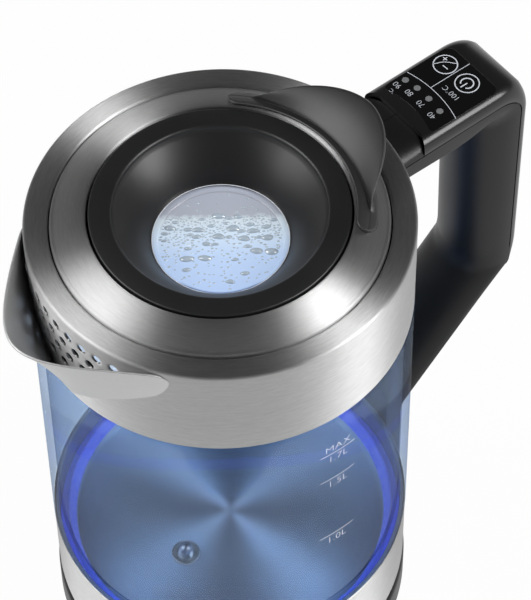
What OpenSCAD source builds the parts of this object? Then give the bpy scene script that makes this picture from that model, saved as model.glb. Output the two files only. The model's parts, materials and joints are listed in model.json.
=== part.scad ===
// Electric kettle: glass body, steel collar with a beaked spout, lift-off lid, keypad handle, 360 degree base.
// Millimetres. The table is the plane z = 0 and +Z is up. The origin lies on the kettle's axis.
// The handle points along +X and the spout along -X.

/* [Body] */
// Outer radius of the steel collar and of the base ring
collar_r = 69; // [64:0.5:74]
// Height of the steel collar
collar_h = 41.6; // [38:0.2:48]
// Thickness of the steel sheet
sheet_t = 0.8; // [0.6:0.1:1]
// How far the glass stands proud of the steel
glass_proud = 0.2; // [0:0.1:0.5]
// Wall of the glass
glass_t = 3; // [2.4:0.1:3.6]
// Height of bare glass between the base ring and the collar
glass_h = 130.4; // [100:0.2:160]
// Length of the narrow neck at each end of the glass
neck_h = 12; // [9:0.5:14]
// Thickness of the silicone between the glass necks and the steel
seal_t = 1.2; // [1:0.1:1.6]
// Height of the steel base ring
base_ring_h = 34.5; // [32:0.5:40]
// Depth of the heating plate below the top of the base ring
plate_drop = 16; // [15:0.5:18]
// Thickness of the moulded plastic walls
wall_t = 2.2; // [1.8:0.1:2.6]

/* [Spout] */
// How far the beak reaches beyond the collar
spout_length = 19.6; // [14:0.2:26]
// Half angle that the beak covers on the collar
spout_half_angle = 36.5; // [32:0.5:40]
// How sharp the beak's tip is: a larger value is blunter
spout_bluntness = 23; // [14:1:32]
// Height of the beak's rim below the top of the collar
spout_rim_drop = 0.6; // [0.4:0.1:2]
// Diameter of one filter hole
filter_hole_d = 3.6; // [2.6:0.1:4]
// Distance between rows of filter holes
filter_row_pitch = 5.8; // [5.2:0.1:6.4]
// Angle between neighbouring filter holes of a row
filter_angle_pitch = 5.8; // [5.2:0.1:6.4]
// Number of rows of filter holes
filter_rows = 4; // [2:1:4]

/* [Lid] */
// Outer radius of the lid
lid_r = 59.7; // [56:0.1:61]
// Gap between the lid and the collar
lid_gap = 0.6; // [0.4:0.1:1]
// Width of the lid's steel ring
lid_ring_w = 12.9; // [11:0.1:15]
// Rise of the lid's steel ring above the collar
lid_rise = 4; // [2:0.2:6]
// Radius of the funnel's mouth
funnel_r = 37.6; // [34:0.2:39]
// Depth of the window below the top of the collar
window_drop = 12.5; // [10:0.5:14]
// Radius of clear window that shows in the funnel
window_r = 24.4; // [20:0.2:27]
// Thickness of the window
window_t = 2; // [1.5:0.1:3]
// Depth of the lid's plug below the top of the collar
plug_drop = 18; // [17:0.5:20]
// Half angle of the pull tab
tab_half_angle = 49; // [42:1:52]
// Width of the tab's flat band
tab_band_w = 7.4; // [6.8:0.2:10]
// Thickness of the tab's flat band
tab_band_t = 1.3; // [1:0.1:2]
// Height of the tab's wing above the band
tab_wing_h = 7.5; // [5:0.5:11]
// How far the tab's wing leans out
tab_wing_lean = 16.5; // [9:0.5:18]

/* [Handle] */
// Distance from the collar to the handle's outer face
handle_depth = 61; // [56:1:68]
// Width of the handle
handle_w = 34; // [30:1:38]
// Depth of the grip above its elbow, from its inner face to its outer face
grip_depth = 20; // [18.5:0.5:25]
// How much deeper the grip is under the bridge
grip_taper = 2.5; // [0:0.5:5]
// Width of the flat on the grip's rounded inner face
grip_inner_w = 2; // [1:0.5:6]
// Height of the bridge that joins the handle to the collar
bridge_h = 14.75; // [13:0.25:18]
// Depth of the handle's flat top below the top of the collar
handle_top_drop = 4.75; // [4:0.25:8]
// Depth of the grip's straight part below the top of the collar
grip_drop = 106; // [90:1:116]
// Depth of the cover above the parting line, on the top
cover_top_h = 5.65; // [5.2:0.05:6.5]
// Depth of the cover outside the parting line, on the spine
cover_spine_h = 4; // [3.5:0.1:5]
// Distance from the cover's curved front edge to the control panel
cover_front_gap = 3.7; // [3:0.1:5]
// Radius of the curved front edges of the cover and the panel
cover_arc_r = 35; // [32:1:60]
// Length of the control panel
panel_l = 32.5; // [30:0.5:34]
// Width of the control panel
panel_w = 28; // [26:0.5:29]
// Thickness of the control panel
panel_t = 1.2; // [0.8:0.1:1.3]
// Radius of a key's plunger
key_r = 2.2; // [1.6:0.1:2.6]
// Travel of a key
key_travel = 0.25; // [0.15:0.05:0.3]

/* [Power base] */
// How far the power base reaches beyond the collar
power_base_margin = 0.5; // [0:0.5:8]
// Height of the power base's seat above its foot
power_base_h = 16; // [14:0.5:20]
// Radius of the power base's rounded shoulder
power_base_shoulder = 3; // [2:0.5:4]
// Height of the rubber foot
foot_h = 2; // [1.5:0.25:4]
// Radius of the round socket in the power base
socket_r = 11.5; // [10:0.5:13]
// Height of the socket above the seat
socket_h = 9; // [7:0.5:10]
// Radius of the cord outlet's bore
cord_bore_r = 3.6; // [3:0.1:4]

/* [Hidden] */
$fn = 120;

fit = 0.05;          // gap between fixed pieces that seat on round faces
loose = 0.3;         // gap between pieces that come apart
screw_r = 1.5;       // shank of every screw
head_r = 2.8;        // head of every screw
head_h = 1.2;

// levels, from the table up
seat_z = foot_h + power_base_h;
kettle_z = seat_z + loose;
ring_z0 = kettle_z + 1.2;
ring_z1 = ring_z0 + base_ring_h;
collar_z0 = ring_z1 + glass_h;
collar_z1 = collar_z0 + collar_h;
plate_z = ring_z1 - plate_drop;

// distances from the axis
spout_reach = collar_r + spout_length;
handle_reach = collar_r + handle_depth;
power_base_r = collar_r + power_base_margin;

// radii of the body
skin_ri = collar_r - sheet_t;
glass_ro = collar_r + glass_proud;
glass_ri = glass_ro - glass_t;
neck_ro = skin_ri - seal_t;
neck_ri = neck_ro - glass_t;
mouth_r = lid_r + lid_gap;

// ---- helpers ----

function unit(v) = v / norm(v);
function turned(v, a) = [v[0] * cos(a) - v[1] * sin(a), v[0] * sin(a) + v[1] * cos(a)];
function ease(x) = let (c = min(1, max(0, x))) c * c * (3 - 2 * c);

// n + 1 points round the corner b, which comes from a and goes to c, with radius r
function bend(a, b, c, r, n) =
    let (d1 = unit(b - a), d2 = unit(c - b),
         turn = atan2(d1[0] * d2[1] - d1[1] * d2[0], d1 * d2),
         start = b - d1 * r * tan(abs(turn) / 2),
         centre = start + sign(turn) * r * [-d1[1], d1[0]])
    [for (k = [0:n]) centre + turned(start - centre, turn * k / n)];

// a path through corners: p holds the points, r the radius at each inner point,
// arcs the steps round each corner and runs the steps along each straight
function path(p, r, arcs, runs) =
    let (bends = [for (i = [1:len(p) - 2]) bend(p[i - 1], p[i], p[i + 1], r[i - 1], arcs[i - 1])],
         starts = [p[0], for (b = bends) b[len(b) - 1]],
         ends = [for (b = bends) b[0], p[len(p) - 1]])
    [for (i = [0:len(starts) - 1]) each concat(
        [for (k = [0:runs[i] - 1]) starts[i] + (ends[i] - starts[i]) * k / runs[i]],
        i < len(bends) ? [for (k = [0:len(bends[i]) - 2]) bends[i][k]] : [ends[i]])];

// closed solid through loops of points; strip says that each end is closed as a strip folded at its middle
module skin(loops, strip = false) {
    n = len(loops[0]);
    m = len(loops);
    last = (m - 1) * n;
    sides = [for (i = [0:m - 2], j = [0:n - 1]) let (a = i * n + j, b = i * n + (j + 1) % n)
        each [[a, a + n, b + n], [a, b + n, b]]];
    ends = strip
        ? [for (j = [0:n / 2 - 2]) let (a = j, b = j + 1, c = n - 2 - j, d = n - 1 - j)
            each [[a, b, c], [a, c, d], [last + c, last + b, last + a], [last + d, last + c, last + a]]]
        : [[for (j = [0:n - 1]) j], [for (j = [n - 1:-1:0]) last + j]];
    polyhedron([for (l = loops) each l], concat(sides, ends));
}

// ring with a square section
module ring(ro, ri, z0, z1) {
    translate([0, 0, z0]) difference() {
        cylinder(r = ro, h = z1 - z0);
        translate([0, 0, -1]) cylinder(r = ri, h = z1 - z0 + 2);
    }
}

// n copies round the axis, the first at angle a
module around(n, a = 0) {
    for (i = [0:n - 1]) rotate([0, 0, a + i * 360 / n]) children();
}

// screw with its head at the origin and its shank up
module screw(l) {
    difference() {
        union() {
            cylinder(r = head_r, h = head_h, $fn = 32);
            cylinder(r = screw_r, h = head_h + l, $fn = 24);
        }
        translate([-2, -0.4, -1]) cube([4, 0.8, 1.8]);
        translate([-0.4, -2, -1]) cube([0.8, 4, 1.8]);
    }
}

// ---- glass, collar and spout ----

glass_lip = 0.3;     // gap between the glass shoulders and the steel edges
glass_round = 1;     // rounding of the glass shoulders

module glass_body() {
    top = collar_z0 - glass_lip;
    bottom = ring_z1 + glass_lip;
    color("LightSteelBlue", 0.5) rotate_extrude() polygon(concat(
        [[neck_ri, ring_z1 - neck_h], [neck_ro, ring_z1 - neck_h], [neck_ro, bottom]],
        [for (a = [-90:30:0]) [glass_ro - glass_round + glass_round * cos(a), bottom + glass_round * (1 + sin(a))]],
        [for (a = [0:30:90]) [glass_ro - glass_round + glass_round * cos(a), top - glass_round * (1 - sin(a))]],
        [[neck_ro, top], [neck_ro, collar_z0 + neck_h], [neck_ri, collar_z0 + neck_h], [neck_ri, top],
         [glass_ri, top - glass_t], [glass_ri, bottom + glass_t], [neck_ri, bottom]]));
}

collar_round = 1.8;  // outer rounding of the collar's top edge
lip_h = 3.2;         // length of the collar's turned-down inner lip

// angle and depth of each filter hole; the rows narrow downwards as the beak does
filter_holes = [for (row = [0:filter_rows - 1], k = [0:7 - row])
    [(k - (7 - row) / 2) * filter_angle_pitch, 8 + row * filter_row_pitch]];

module top_collar() {
    cr = collar_round;
    color("Silver") difference() {
        rotate_extrude() {
            translate([skin_ri, collar_z0]) square([sheet_t, collar_h - cr]);
            translate([mouth_r + cr, collar_z1 - sheet_t]) square([collar_r - mouth_r - 2 * cr, sheet_t]);
            translate([mouth_r, collar_z1 - lip_h]) square([sheet_t, lip_h - cr]);
            for (side = [0, 1]) intersection() {
                translate([side ? collar_r - cr : mouth_r + cr, collar_z1 - cr]) difference() {
                    circle(r = cr, $fn = 48);
                    circle(r = cr - sheet_t, $fn = 48);
                }
                translate([side ? collar_r - cr : mouth_r, collar_z1 - cr]) square(cr);
            }
        }
        for (h = filter_holes) translate([0, 0, collar_z1 - h[1]]) rotate([0, -90, h[0]])
            translate([0, 0, skin_ri - 3]) cylinder(d = filter_hole_d, h = sheet_t + 6, $fn = 24);
    }
}

// The beak is a sheet between its weld line on the collar and its free rim.
// The rim is a hyperbola seen from above, and the weld line is a V with a rounded foot.
weld_r = collar_r + fit;
rim_half_angle = spout_half_angle - 1;
rim_half_w = weld_r * sin(rim_half_angle);
rim_run = spout_reach - weld_r * cos(rim_half_angle);
rim_slope = sqrt(pow(rim_run + spout_bluntness, 2) - pow(spout_bluntness, 2)) / rim_half_w;
rim_fall = 3.4;      // how much lower the rim's ends are than its tip
weld_top = 8.9;      // depth of the weld line's ends below the top of the collar

function rim_point(u) =
    let (s = rim_half_w * u,
         x = sqrt(pow(spout_bluntness, 2) + pow(rim_slope * s, 2)) - spout_bluntness - spout_reach)
    [x, s, collar_z1 - spout_rim_drop - rim_fall * ease((abs(u) - 0.65) / 0.35)];
function weld_point(u) =
    let (a = spout_half_angle * u, low = collar_h - 0.2,
         depth = min(low, weld_top + (low - weld_top + 4.5) * (1 - abs(u))))
    [-weld_r * cos(a), weld_r * sin(a), collar_z1 - depth];
function beak_point(u, v) =
    weld_point(u) * (1 - v) + rim_point(u) * v + [6 * v * (1 - v) * pow(1 - u * u, 2), 0, 0];
function beak_normal(u, v) =
    let (e = 0.01, a = beak_point(min(1, u + e), v) - beak_point(max(-1, u - e), v),
         b = beak_point(u, min(1, v + e)) - beak_point(u, max(0, v - e)))
    unit(cross(b, a));
// the inner skin: it meets the collar a little inside the outer one
function inner_point(outer_u, v) =
    let (u = outer_u * 0.94, p = beak_point(u, v) + sheet_t * beak_normal(u, v), r = norm([p[0], p[1]]),
         k = v == 0 ? weld_r / r : max(1, weld_r / r))
    [p[0] * k, p[1] * k, p[2]];

module spout() {
    us = [for (i = [18:-1:-18]) i / 18];
    vs = [for (i = [0:5]) i / 5];
    color("Silver") skin([for (u = us) concat(
        [for (v = vs) beak_point(u, v)], [for (i = [5:-1:0]) inner_point(u, vs[i])])]);
}

liner_web_z = collar_z0 + neck_h + 0.3;
liner_t = 2.1;
liner_ro = skin_ri - fit - 0.05;
bore_r = lid_r - 1.1;          // bore that the lid's gasket seals on
bore_depth = 14;               // depth of that bore below the top of the collar

// Inner ring: it grips the glass neck, carries the collar and holds the lid's sealing bore.
module collar_liner() {
    color("DimGray") difference() {
        rotate_extrude() {
            translate([neck_ri - fit - liner_t, liner_web_z - 8]) square([liner_t, 8 + liner_t]);
            translate([neck_ri - fit - liner_t, liner_web_z]) square([liner_ro - neck_ri + fit + liner_t, liner_t]);
            translate([liner_ro - liner_t, liner_web_z]) square([liner_t, collar_z1 - lip_h - 0.6 - liner_web_z]);
            translate([bore_r, collar_z1 - lip_h - 0.6 - liner_t]) square([liner_ro - bore_r, liner_t]);
            translate([bore_r, collar_z1 - bore_depth]) square([liner_t, bore_depth - lip_h - 0.6]);
        }
        // window behind the filter holes
        z0 = liner_web_z + liner_t;
        translate([0, 0, z0]) rotate([0, 0, 180 - rim_half_angle]) rotate_extrude(angle = 2 * rim_half_angle)
            translate([liner_ro - liner_t - 1, 0]) square([liner_t + 2, collar_z1 - lip_h - 0.6 - liner_t - z0]);
    }
}

module collar_seal() {
    color("Black") ring(skin_ri - fit, neck_ro + fit, collar_z0 + 0.2, collar_z0 + neck_h - 1);
}

// ---- base of the kettle ----

handle_foot_rise = 4.8;        // from the power base's seat to the bottom of the handle's foot
foot_z = seat_z + handle_foot_rise;
foot_bore_z = foot_z + 3.7;    // height of the screws and wires that enter from the foot

module base_ring() {
    color("Silver") difference() {
        union() {
            ring(collar_r, skin_ri, ring_z0, ring_z1);
            ring(collar_r - fit, skin_ri - 2.6, ring_z0, ring_z0 + sheet_t);
        }
        translate([0, 0, foot_bore_z]) rotate([0, 90, 0]) cylinder(r = wire_r + 0.5, h = collar_r + 5, $fn = 24);
        for (s = [-1, 1]) translate([0, s * foot_screw_y, foot_bore_z])
            rotate([0, 90, 0]) cylinder(r = screw_r + 0.2, h = collar_r + 5, $fn = 24);
    }
}

module base_seal() {
    color("Black") ring(skin_ri - fit, neck_ro + fit, ring_z1 - neck_h + 1, ring_z1 - 0.2);
}

plate_seal_t = 0.7;
flange_z = ring_z1 - neck_h - plate_seal_t;   // top of the plate's flange, under the glass
dish_r = neck_ri - 3.2;                       // radius where the dish of the plate starts to rise

module heating_plate() {
    color("LightGray") difference() {
        rotate_extrude() polygon([
            [0, plate_z - sheet_t], [0, plate_z], [dish_r - 0.6, plate_z], [dish_r, plate_z + 0.4],
            [dish_r, flange_z - 0.4], [dish_r + 0.6, flange_z], [neck_ro, flange_z], [neck_ro, flange_z - sheet_t],
            [dish_r + sheet_t, flange_z - sheet_t], [dish_r + sheet_t, plate_z], [dish_r, plate_z - sheet_t]]);
        translate([probe_x, probe_y, plate_z - 5]) cylinder(r = probe_r + fit, h = 10, $fn = 32);
    }
}

// Clear silicone under and inside the lower neck: it seals the plate and carries the light.
module plate_seal() {
    color("RoyalBlue", 0.6) rotate_extrude() polygon([
        [dish_r, flange_z + fit], [neck_ro, flange_z + fit], [neck_ro, ring_z1 - neck_h - fit],
        [neck_ri - fit, ring_z1 - neck_h - fit], [neck_ri - fit, ring_z1 - neck_h + 3.6],
        [neck_ri - 0.8, ring_z1 - neck_h + 4.2], [dish_r + 0.8, ring_z1 - neck_h + 2.6], [dish_r, ring_z1 - neck_h + 1.6]]);
}

spreader_t = 3;
spreader_r = neck_ri - 14;
element_r = spreader_r - 10;
disc_y = element_r - 14;       // place, radius and thickness of the boil-dry discs
disc_r = 6.4;
disc_t = 2;
element_tube_r = 3.3;
spreader_z = plate_z - sheet_t - spreader_t - fit;

module heat_spreader() {
    color("Gainsboro") difference() {
        translate([0, 0, spreader_z]) cylinder(r = spreader_r, h = spreader_t);
        translate([probe_x, probe_y, spreader_z - 1]) cylinder(r = probe_r + 1.5, h = spreader_t + 2, $fn = 32);
    }
}

// Open ring of heating tube under the spreader, with its two cold ends turned down.
module heating_element() {
    z = spreader_z - element_tube_r - fit;
    color("DarkGray") union() {
        translate([0, 0, z]) rotate([0, 0, 30]) rotate_extrude(angle = 300)
            translate([element_r, 0]) circle(r = element_tube_r, $fn = 32);
        for (a = [35, 325]) rotate([0, 0, a]) translate([element_r, 0, z - 6])
            cylinder(r = element_tube_r - 0.9, h = 6, $fn = 32);
    }
}

module boil_dry_discs() {
    color("Goldenrod") for (s = [-1, 1]) translate([0, s * disc_y, spreader_z - disc_t - fit])
        cylinder(r1 = disc_r, r2 = disc_r + 0.4, h = disc_t, $fn = 48);
}

probe_x = -26;
probe_y = -5;
probe_r = 3;

module temperature_probe() {
    color("Silver") translate([probe_x, probe_y, plate_z]) union() {
        translate([0, 0, fit]) cylinder(r = probe_r + 2.6, h = 1, $fn = 48);
        translate([0, 0, fit]) cylinder(r = probe_r, h = 3, $fn = 48);
        translate([0, 0, fit + 3]) intersection() {
            scale(1) sphere(r = probe_r, $fn = 32);
            cylinder(r = probe_r, h = probe_r, $fn = 48);
        }
        translate([0, 0, -8]) cylinder(r = probe_r - fit, h = 8 + fit, $fn = 48);
    }
}

frame_z = ring_z0 + 11;        // underside of the plastic frame in the base
frame_t = 3;
frame_ri = skin_ri - 12.2;
board_t = 1.6;
led_n = 12;
led_h = 1.2;
bottom_screw_r = skin_ri - 8.7;                // radius of the ring of bottom screws
bottom_screw_l = 8;

module base_frame() {
    boss_h = frame_z - kettle_z - wall_t - fit;
    color("DimGray") difference() {
        union() {
            ring(skin_ri - fit, frame_ri, frame_z, frame_z + frame_t);
            around(3, 60) translate([bottom_screw_r, 0, frame_z - boss_h]) cylinder(r = 3.4, h = boss_h + 1, $fn = 32);
        }
        around(3, 60) translate([bottom_screw_r, 0, frame_z - boss_h - 1])
            cylinder(r = screw_r + fit, h = boss_h + 3, $fn = 24);
    }
}

led_board_z = frame_z + frame_t + fit;
led_ring_r = neck_ri - 0.4;

module led_board() {
    color("ForestGreen") ring(neck_ro + 0.6, led_ring_r - 4, led_board_z, led_board_z + board_t);
}

module light_leds() {
    color("White") around(led_n, 15) translate([led_ring_r - 1.4, -1.4, led_board_z + board_t + fit])
        cube([2.8, 2.8, led_h]);
}

module light_ring() {
    z0 = led_board_z + board_t + led_h + 3 * fit;
    color("LightSkyBlue", 0.6) ring(neck_ro, dish_r + sheet_t + 0.4, z0, flange_z - sheet_t - fit);
}

module power_board() {
    z = kettle_z + wall_t + 4;
    color("ForestGreen") difference() {
        union() {
            translate([0, 0, z]) rotate([0, 0, 100]) rotate_extrude(angle = 160)
                translate([connector_r + 6, 0]) square([frame_ri - connector_r - 10, board_t]);
            for (a = [120, 240]) rotate([0, 0, a]) translate([34, 0, z - 4]) cylinder(r = 2.6, h = 5, $fn = 32);
        }
        translate([probe_x, probe_y, z - 5]) cylinder(r = probe_r + 1, h = 10, $fn = 32);
    }
    color("RoyalBlue") translate([-33, 4, z + board_t]) cube([9, 9, 3]);
}

connector_r = 17;
connector_h = 12.5;

module kettle_base_cover() {
    color("DimGray") difference() {
        rotate_extrude() {
            translate([connector_r - wall_t, kettle_z]) square([skin_ri - 5 - connector_r + wall_t, wall_t]);
            translate([skin_ri - 5, kettle_z]) square([wall_t, ring_z0 + sheet_t + 2 - kettle_z]);
            translate([connector_r + fit, kettle_z]) square([wall_t, 6]);
        }
        around(3, 60) translate([bottom_screw_r, 0, kettle_z - 1]) cylinder(r = screw_r + 0.2, h = 5, $fn = 24);
        around(3, 60) translate([bottom_screw_r, 0, kettle_z - 1]) cylinder(r = head_r + 0.2, h = 2.4, $fn = 32);
    }
}

// Round appliance connector: a cup that drops over the socket of the power base.
module kettle_connector() {
    color("Black") difference() {
        translate([0, 0, kettle_z + wall_t + fit]) cylinder(r = connector_r, h = connector_h - wall_t - fit);
        translate([0, 0, kettle_z - 1]) cylinder(r = socket_r + loose, h = socket_h + 1 + loose);
        for (p = contact_pins) translate([p, 0, kettle_z]) cylinder(r = pin_r + fit, h = connector_h + 1, $fn = 24);
    }
}

// Pins that stand in the grooves of the socket.
contact_pins = [socket_r - 3.5, -socket_r + 3.5, socket_r - 7.4];
pin_r = 0.4;

module connector_contacts() {
    z0 = seat_z + socket_h - 5;
    color("Goldenrod") for (p = contact_pins) translate([p, 0, z0])
        cylinder(r = pin_r, h = kettle_z + connector_h + 1.5 - z0, $fn = 24);
}

module bottom_screws() {
    color("DarkGray") around(3, 60) translate([bottom_screw_r, 0, kettle_z + 0.1]) screw(bottom_screw_l);
}

// ---- handle ----

hw = handle_w / 2;
grip_x = handle_reach - grip_depth;            // inner face of the grip
handle_z = collar_z1 - handle_top_drop;        // flat top of the handle
bridge_z = handle_z - bridge_h;                // underside of the bridge
elbow_z = collar_z1 - grip_drop;               // where the straight outer face would meet the leg
foot_x = collar_r + 5.5;                       // outer face of the foot on the base ring
foot_screw_y = 9;
wire_r = 1.2;
hidden_x = collar_r - 9;                       // the handle's ends start inside the body and are cut by it
outer_round = 15;
leg_dx = handle_reach - foot_x;
leg_z = elbow_z - leg_dx;                      // the outer face of the leg slopes at 45 degrees

// side view: the outer and the inner line, point by point in pairs
outer_line = path([[hidden_x, handle_z], [handle_reach, handle_z], [handle_reach, elbow_z],
                   [foot_x, leg_z], [foot_x, foot_z]],
                  [outer_round, 24, 8], [8, 6, 3], [9, 8, 8, 2]);
elbow_drop = 2.5;                              // how much lower the inner face bends than the outer one
inner_elbow_z = elbow_z - elbow_drop;
inner_line = path([[hidden_x, bridge_z], [grip_x - grip_taper, bridge_z], [grip_x, inner_elbow_z],
                   [hidden_x, inner_elbow_z - grip_x + hidden_x], [hidden_x, foot_z]],
                  [9, 12, 6], [8, 6, 3], [9, 8, 8, 2]);
last_station = len(outer_line) - 1;
corner_start = 9;                              // first and last station of the top corner
corner_end = 17;
cover_last = 29;                               // last station that the cover reaches

// parting line between the shell and the cover
function part_depth(i) =
    cover_top_h + (cover_spine_h - cover_top_h) * ease((i - corner_start) / (corner_end - corner_start));
function part_point(i) =
    let (a = 90 * (1 - min(1, max(0, (i - corner_start) / (corner_end - corner_start)))), o = outer_line[i])
    i <= corner_end ? o - part_depth(i) * [cos(a), sin(a)]
                    : [min(handle_reach - cover_spine_h, o[0]), o[1]];

trough_end = 25;               // last station of the hollow part of the shell
trough_wall = 2.4;
trough_floor = 3;
lip_round = 3.4;               // rounding of the leg's outer edges
leg_crown = 0.4;               // rise of the leg's outer face between them

// share of the grip's form in a station: the bridge is nearly square inside, the grip and the leg are round
function roundness(i) = ease((i - corner_start + 3) / 8);
// half width at depth d; rc is the depth that the rounding takes
function half_w(i, d, rc) =
    let (k = roundness(i), flat = (hw - 3.5) * (1 - k) + grip_inner_w / 2 * k, s = max(0, 1 - d / rc))
    hw - (hw - flat) * (1 - sqrt(1 - s * s));

function shell_loop(i) =
    let (a = inner_line[i], b = part_point(i), dir = unit(b - a), depth = norm(b - a), k = roundness(i),
         rc = 3.5 * (1 - k) + (depth - 1.5) * k, h = i <= trough_end ? 1 : 0,
         ds = [0, 0.04 * rc, 0.14 * rc, 0.32 * rc, 0.6 * rc, rc, depth - 1.1, depth],
         ws = [for (n = [0:7]) half_w(i, ds[n], rc) - (1 - h) * lip_round * (n == 7 ? 1 : n == 6 ? 0.3 : 0)],
         wi = hw - trough_wall - (1 - h) * lip_round, floor_d = depth - h * (depth - trough_floor),
         crown = (1 - h) * leg_crown,
         inside = [[wi, depth + crown * 0.3],
                   [h == 1 ? half_w(i, floor_d + 4, rc) - trough_wall - 0.3 : wi - 0.3, floor_d + h * 4 + crown * 0.4],
                   [h == 1 ? half_w(i, floor_d, rc) - trough_wall - 1.5 : wi - 4, floor_d + crown]],
         section = concat([for (n = [7:-1:0]) [-ws[n], ds[n]]], [for (n = [0:7]) [ws[n], ds[n]]],
                          inside, [for (n = [2:-1:0]) [-inside[n][0], inside[n][1]]]))
    [for (q = section) [a[0] + dir[0] * q[1], q[0], a[1] + dir[1] * q[1]]];

module body_cut(gap) {
    translate([0, 0, ring_z0 - 1]) cylinder(r = glass_ro + gap, h = collar_z1 - ring_z0 + 2);
}

wire_x = grip_x + 8;           // the wires' run down the spine
channel_top = [wire_x, elbow_z + 1];
channel_rise = 16;             // straight length of the channel above its bend
channel_low = [collar_r + 2.9, leg_z + 6];

module handle_shell() {
    color("DimGray") difference() {
        skin([for (i = [0:last_station]) shell_loop(i)]);
        body_cut(fit);
        // channel for the wires, down the leg and the foot
        translate([channel_top[0], 0, channel_top[1]])
            rotate([0, 180 + atan2(channel_top[0] - channel_low[0], channel_top[1] - channel_low[1]), 0])
            cylinder(r = wire_r + 0.6, h = norm(channel_top - channel_low), $fn = 24);
        translate([channel_top[0], 0, channel_top[1] - 1]) cylinder(r = wire_r + 0.6, h = channel_rise, $fn = 24);
        translate([channel_low[0], 0, foot_bore_z - 2]) cylinder(r = wire_r + 0.4, h = channel_low[1] - foot_bore_z + 2, $fn = 24);
        // screw holes: up into the cover, and from the base ring into the foot
        for (s = [-1, 1]) translate([cover_screw_x, s * cover_screw_y, bridge_z - 1]) {
            cylinder(r = screw_r + 0.2, h = 8, $fn = 24);
            cylinder(r = head_r + 0.2, h = 1 + head_h + 0.2, $fn = 32);
        }
        for (s = [-1, 1]) translate([collar_r - 2, s * foot_screw_y, foot_bore_z])
            rotate([0, 90, 0]) cylinder(r = screw_r + fit, h = 6, $fn = 24);
        translate([collar_r - 2, 0, foot_bore_z])
            rotate([0, 90, 0]) cylinder(r = wire_r + 0.4, h = channel_low[0] - collar_r + 2, $fn = 24);
    }
}

// Fixed lid of the bridge, between the collar and the cover; it ends in a tongue under the cover.
module handle_bridge() {
    h = cover_top_h - 2.3;
    z = handle_z - cover_top_h + 0.1;
    color("DimGray") difference() {
        union() {
            intersection() {
                translate([hidden_x, 0, z]) rotate([90, 0, 90]) linear_extrude(height = cover_front_x - hidden_x)
                    polygon([[-hw, 0], [-hw + 0.4, 0.8], [-hw + 2.4, h - 1], [-hw + 5, h - 0.2], [-hw + 7, h],
                             [hw - 7, h], [hw - 5, h - 0.2], [hw - 2.4, h - 1], [hw - 0.4, 0.8], [hw, 0]]);
                translate([cover_front_x - cover_arc_r, 0, 0]) cylinder(r = cover_arc_r - 0.15, h = collar_z1);
            }
            translate([cover_front_x - 3, 6 - hw, z]) cube([3.8, handle_w - 12, h - 0.3]);
        }
        body_cut(fit);
    }
}

cover_wall = 2;

function cover_loop(i, front = false) =
    let (a = part_point(i), b = outer_line[i], depth = norm(b - a), dir = unit(b - a), k = depth / cover_top_h,
         outer = [[hw, 0.1], [hw - 0.05, 1.5], [hw - 0.5, 3.2], [hw - 1.6, 4.6], [hw - 3, 5.4], [hw - 4.6, cover_top_h]],
         inner_top = cover_top_h - cover_wall,
         inner = [[hw - cover_wall, 0.1], [hw - cover_wall - 0.05, 1.2], [hw - cover_wall - 0.4, 2.4],
                  [hw - cover_wall - 1.2, inner_top - 0.5], [hw - cover_wall - 2.4, inner_top - 0.1],
                  [hw - cover_wall - 3.6, inner_top]],
         section = concat([for (q = outer) [-q[0], q[1]]], [for (n = [5:-1:0]) outer[n]],
                          inner, [for (n = [5:-1:0]) [-inner[n][0], inner[n][1]]]))
    [for (q = section) [front ? cover_front_x - cover_arc_r + sqrt(pow(cover_arc_r, 2) - q[0] * q[0]) : a[0] + dir[0] * q[1] * k,
                        q[0], a[1] + dir[1] * q[1] * k]];

panel_back = 13;               // distance from the panel's rear edge to the handle's outer face
panel_x0 = handle_reach - panel_back - panel_l;
panel_bow = 2.8;               // how far the panel's front edge curves back
cover_front_x = panel_x0 + panel_bow - cover_front_gap;
// first station behind that edge
cover_first = [for (i = [0:corner_start]) if (outer_line[i][0] > cover_front_x + 1.5) i][0];
panel_gap = 0.1;
panel_round = 3.6;
cover_screw_x = panel_x0 + 3.3;
cover_screw_y = 9.5;
cover_screw_l = 9.5;
foot_screw_l = 5;
// the heads of the foot's screws lie inside the curved base ring
foot_screw_x = sqrt(pow(skin_ri, 2) - pow(foot_screw_y + head_r, 2)) - head_h - 0.1;
led_spots = [[panel_x0 + 9, 11], [panel_x0 + 9.9, 5.6], [panel_x0 + 9.9, -0.9], [panel_x0 + 9.2, -7.9]];
key_x = panel_x0 + 25.3;
power_key_y = -4;
temperature_key_y = 7.8;
board_z = handle_z - 8.85;     // underside of the control board
post_r = 2.8;

module panel_outline(grow) {
    l = panel_l + grow;
    w = panel_w + 2 * grow;
    r = panel_round + grow;
    difference() {
        translate([panel_x0 - grow, 0]) union() {
            translate([0, r - w / 2]) square([l + grow, w - 2 * r]);
            translate([r, -w / 2]) square([l + grow - 2 * r, w]);
            for (x = [r, l + grow - r], y = [r - w / 2, w / 2 - r]) translate([x, y]) circle(r = r, $fn = 48);
        }
        translate([panel_x0 + panel_bow - grow - cover_arc_r, 0]) circle(r = cover_arc_r);
    }
}

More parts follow.
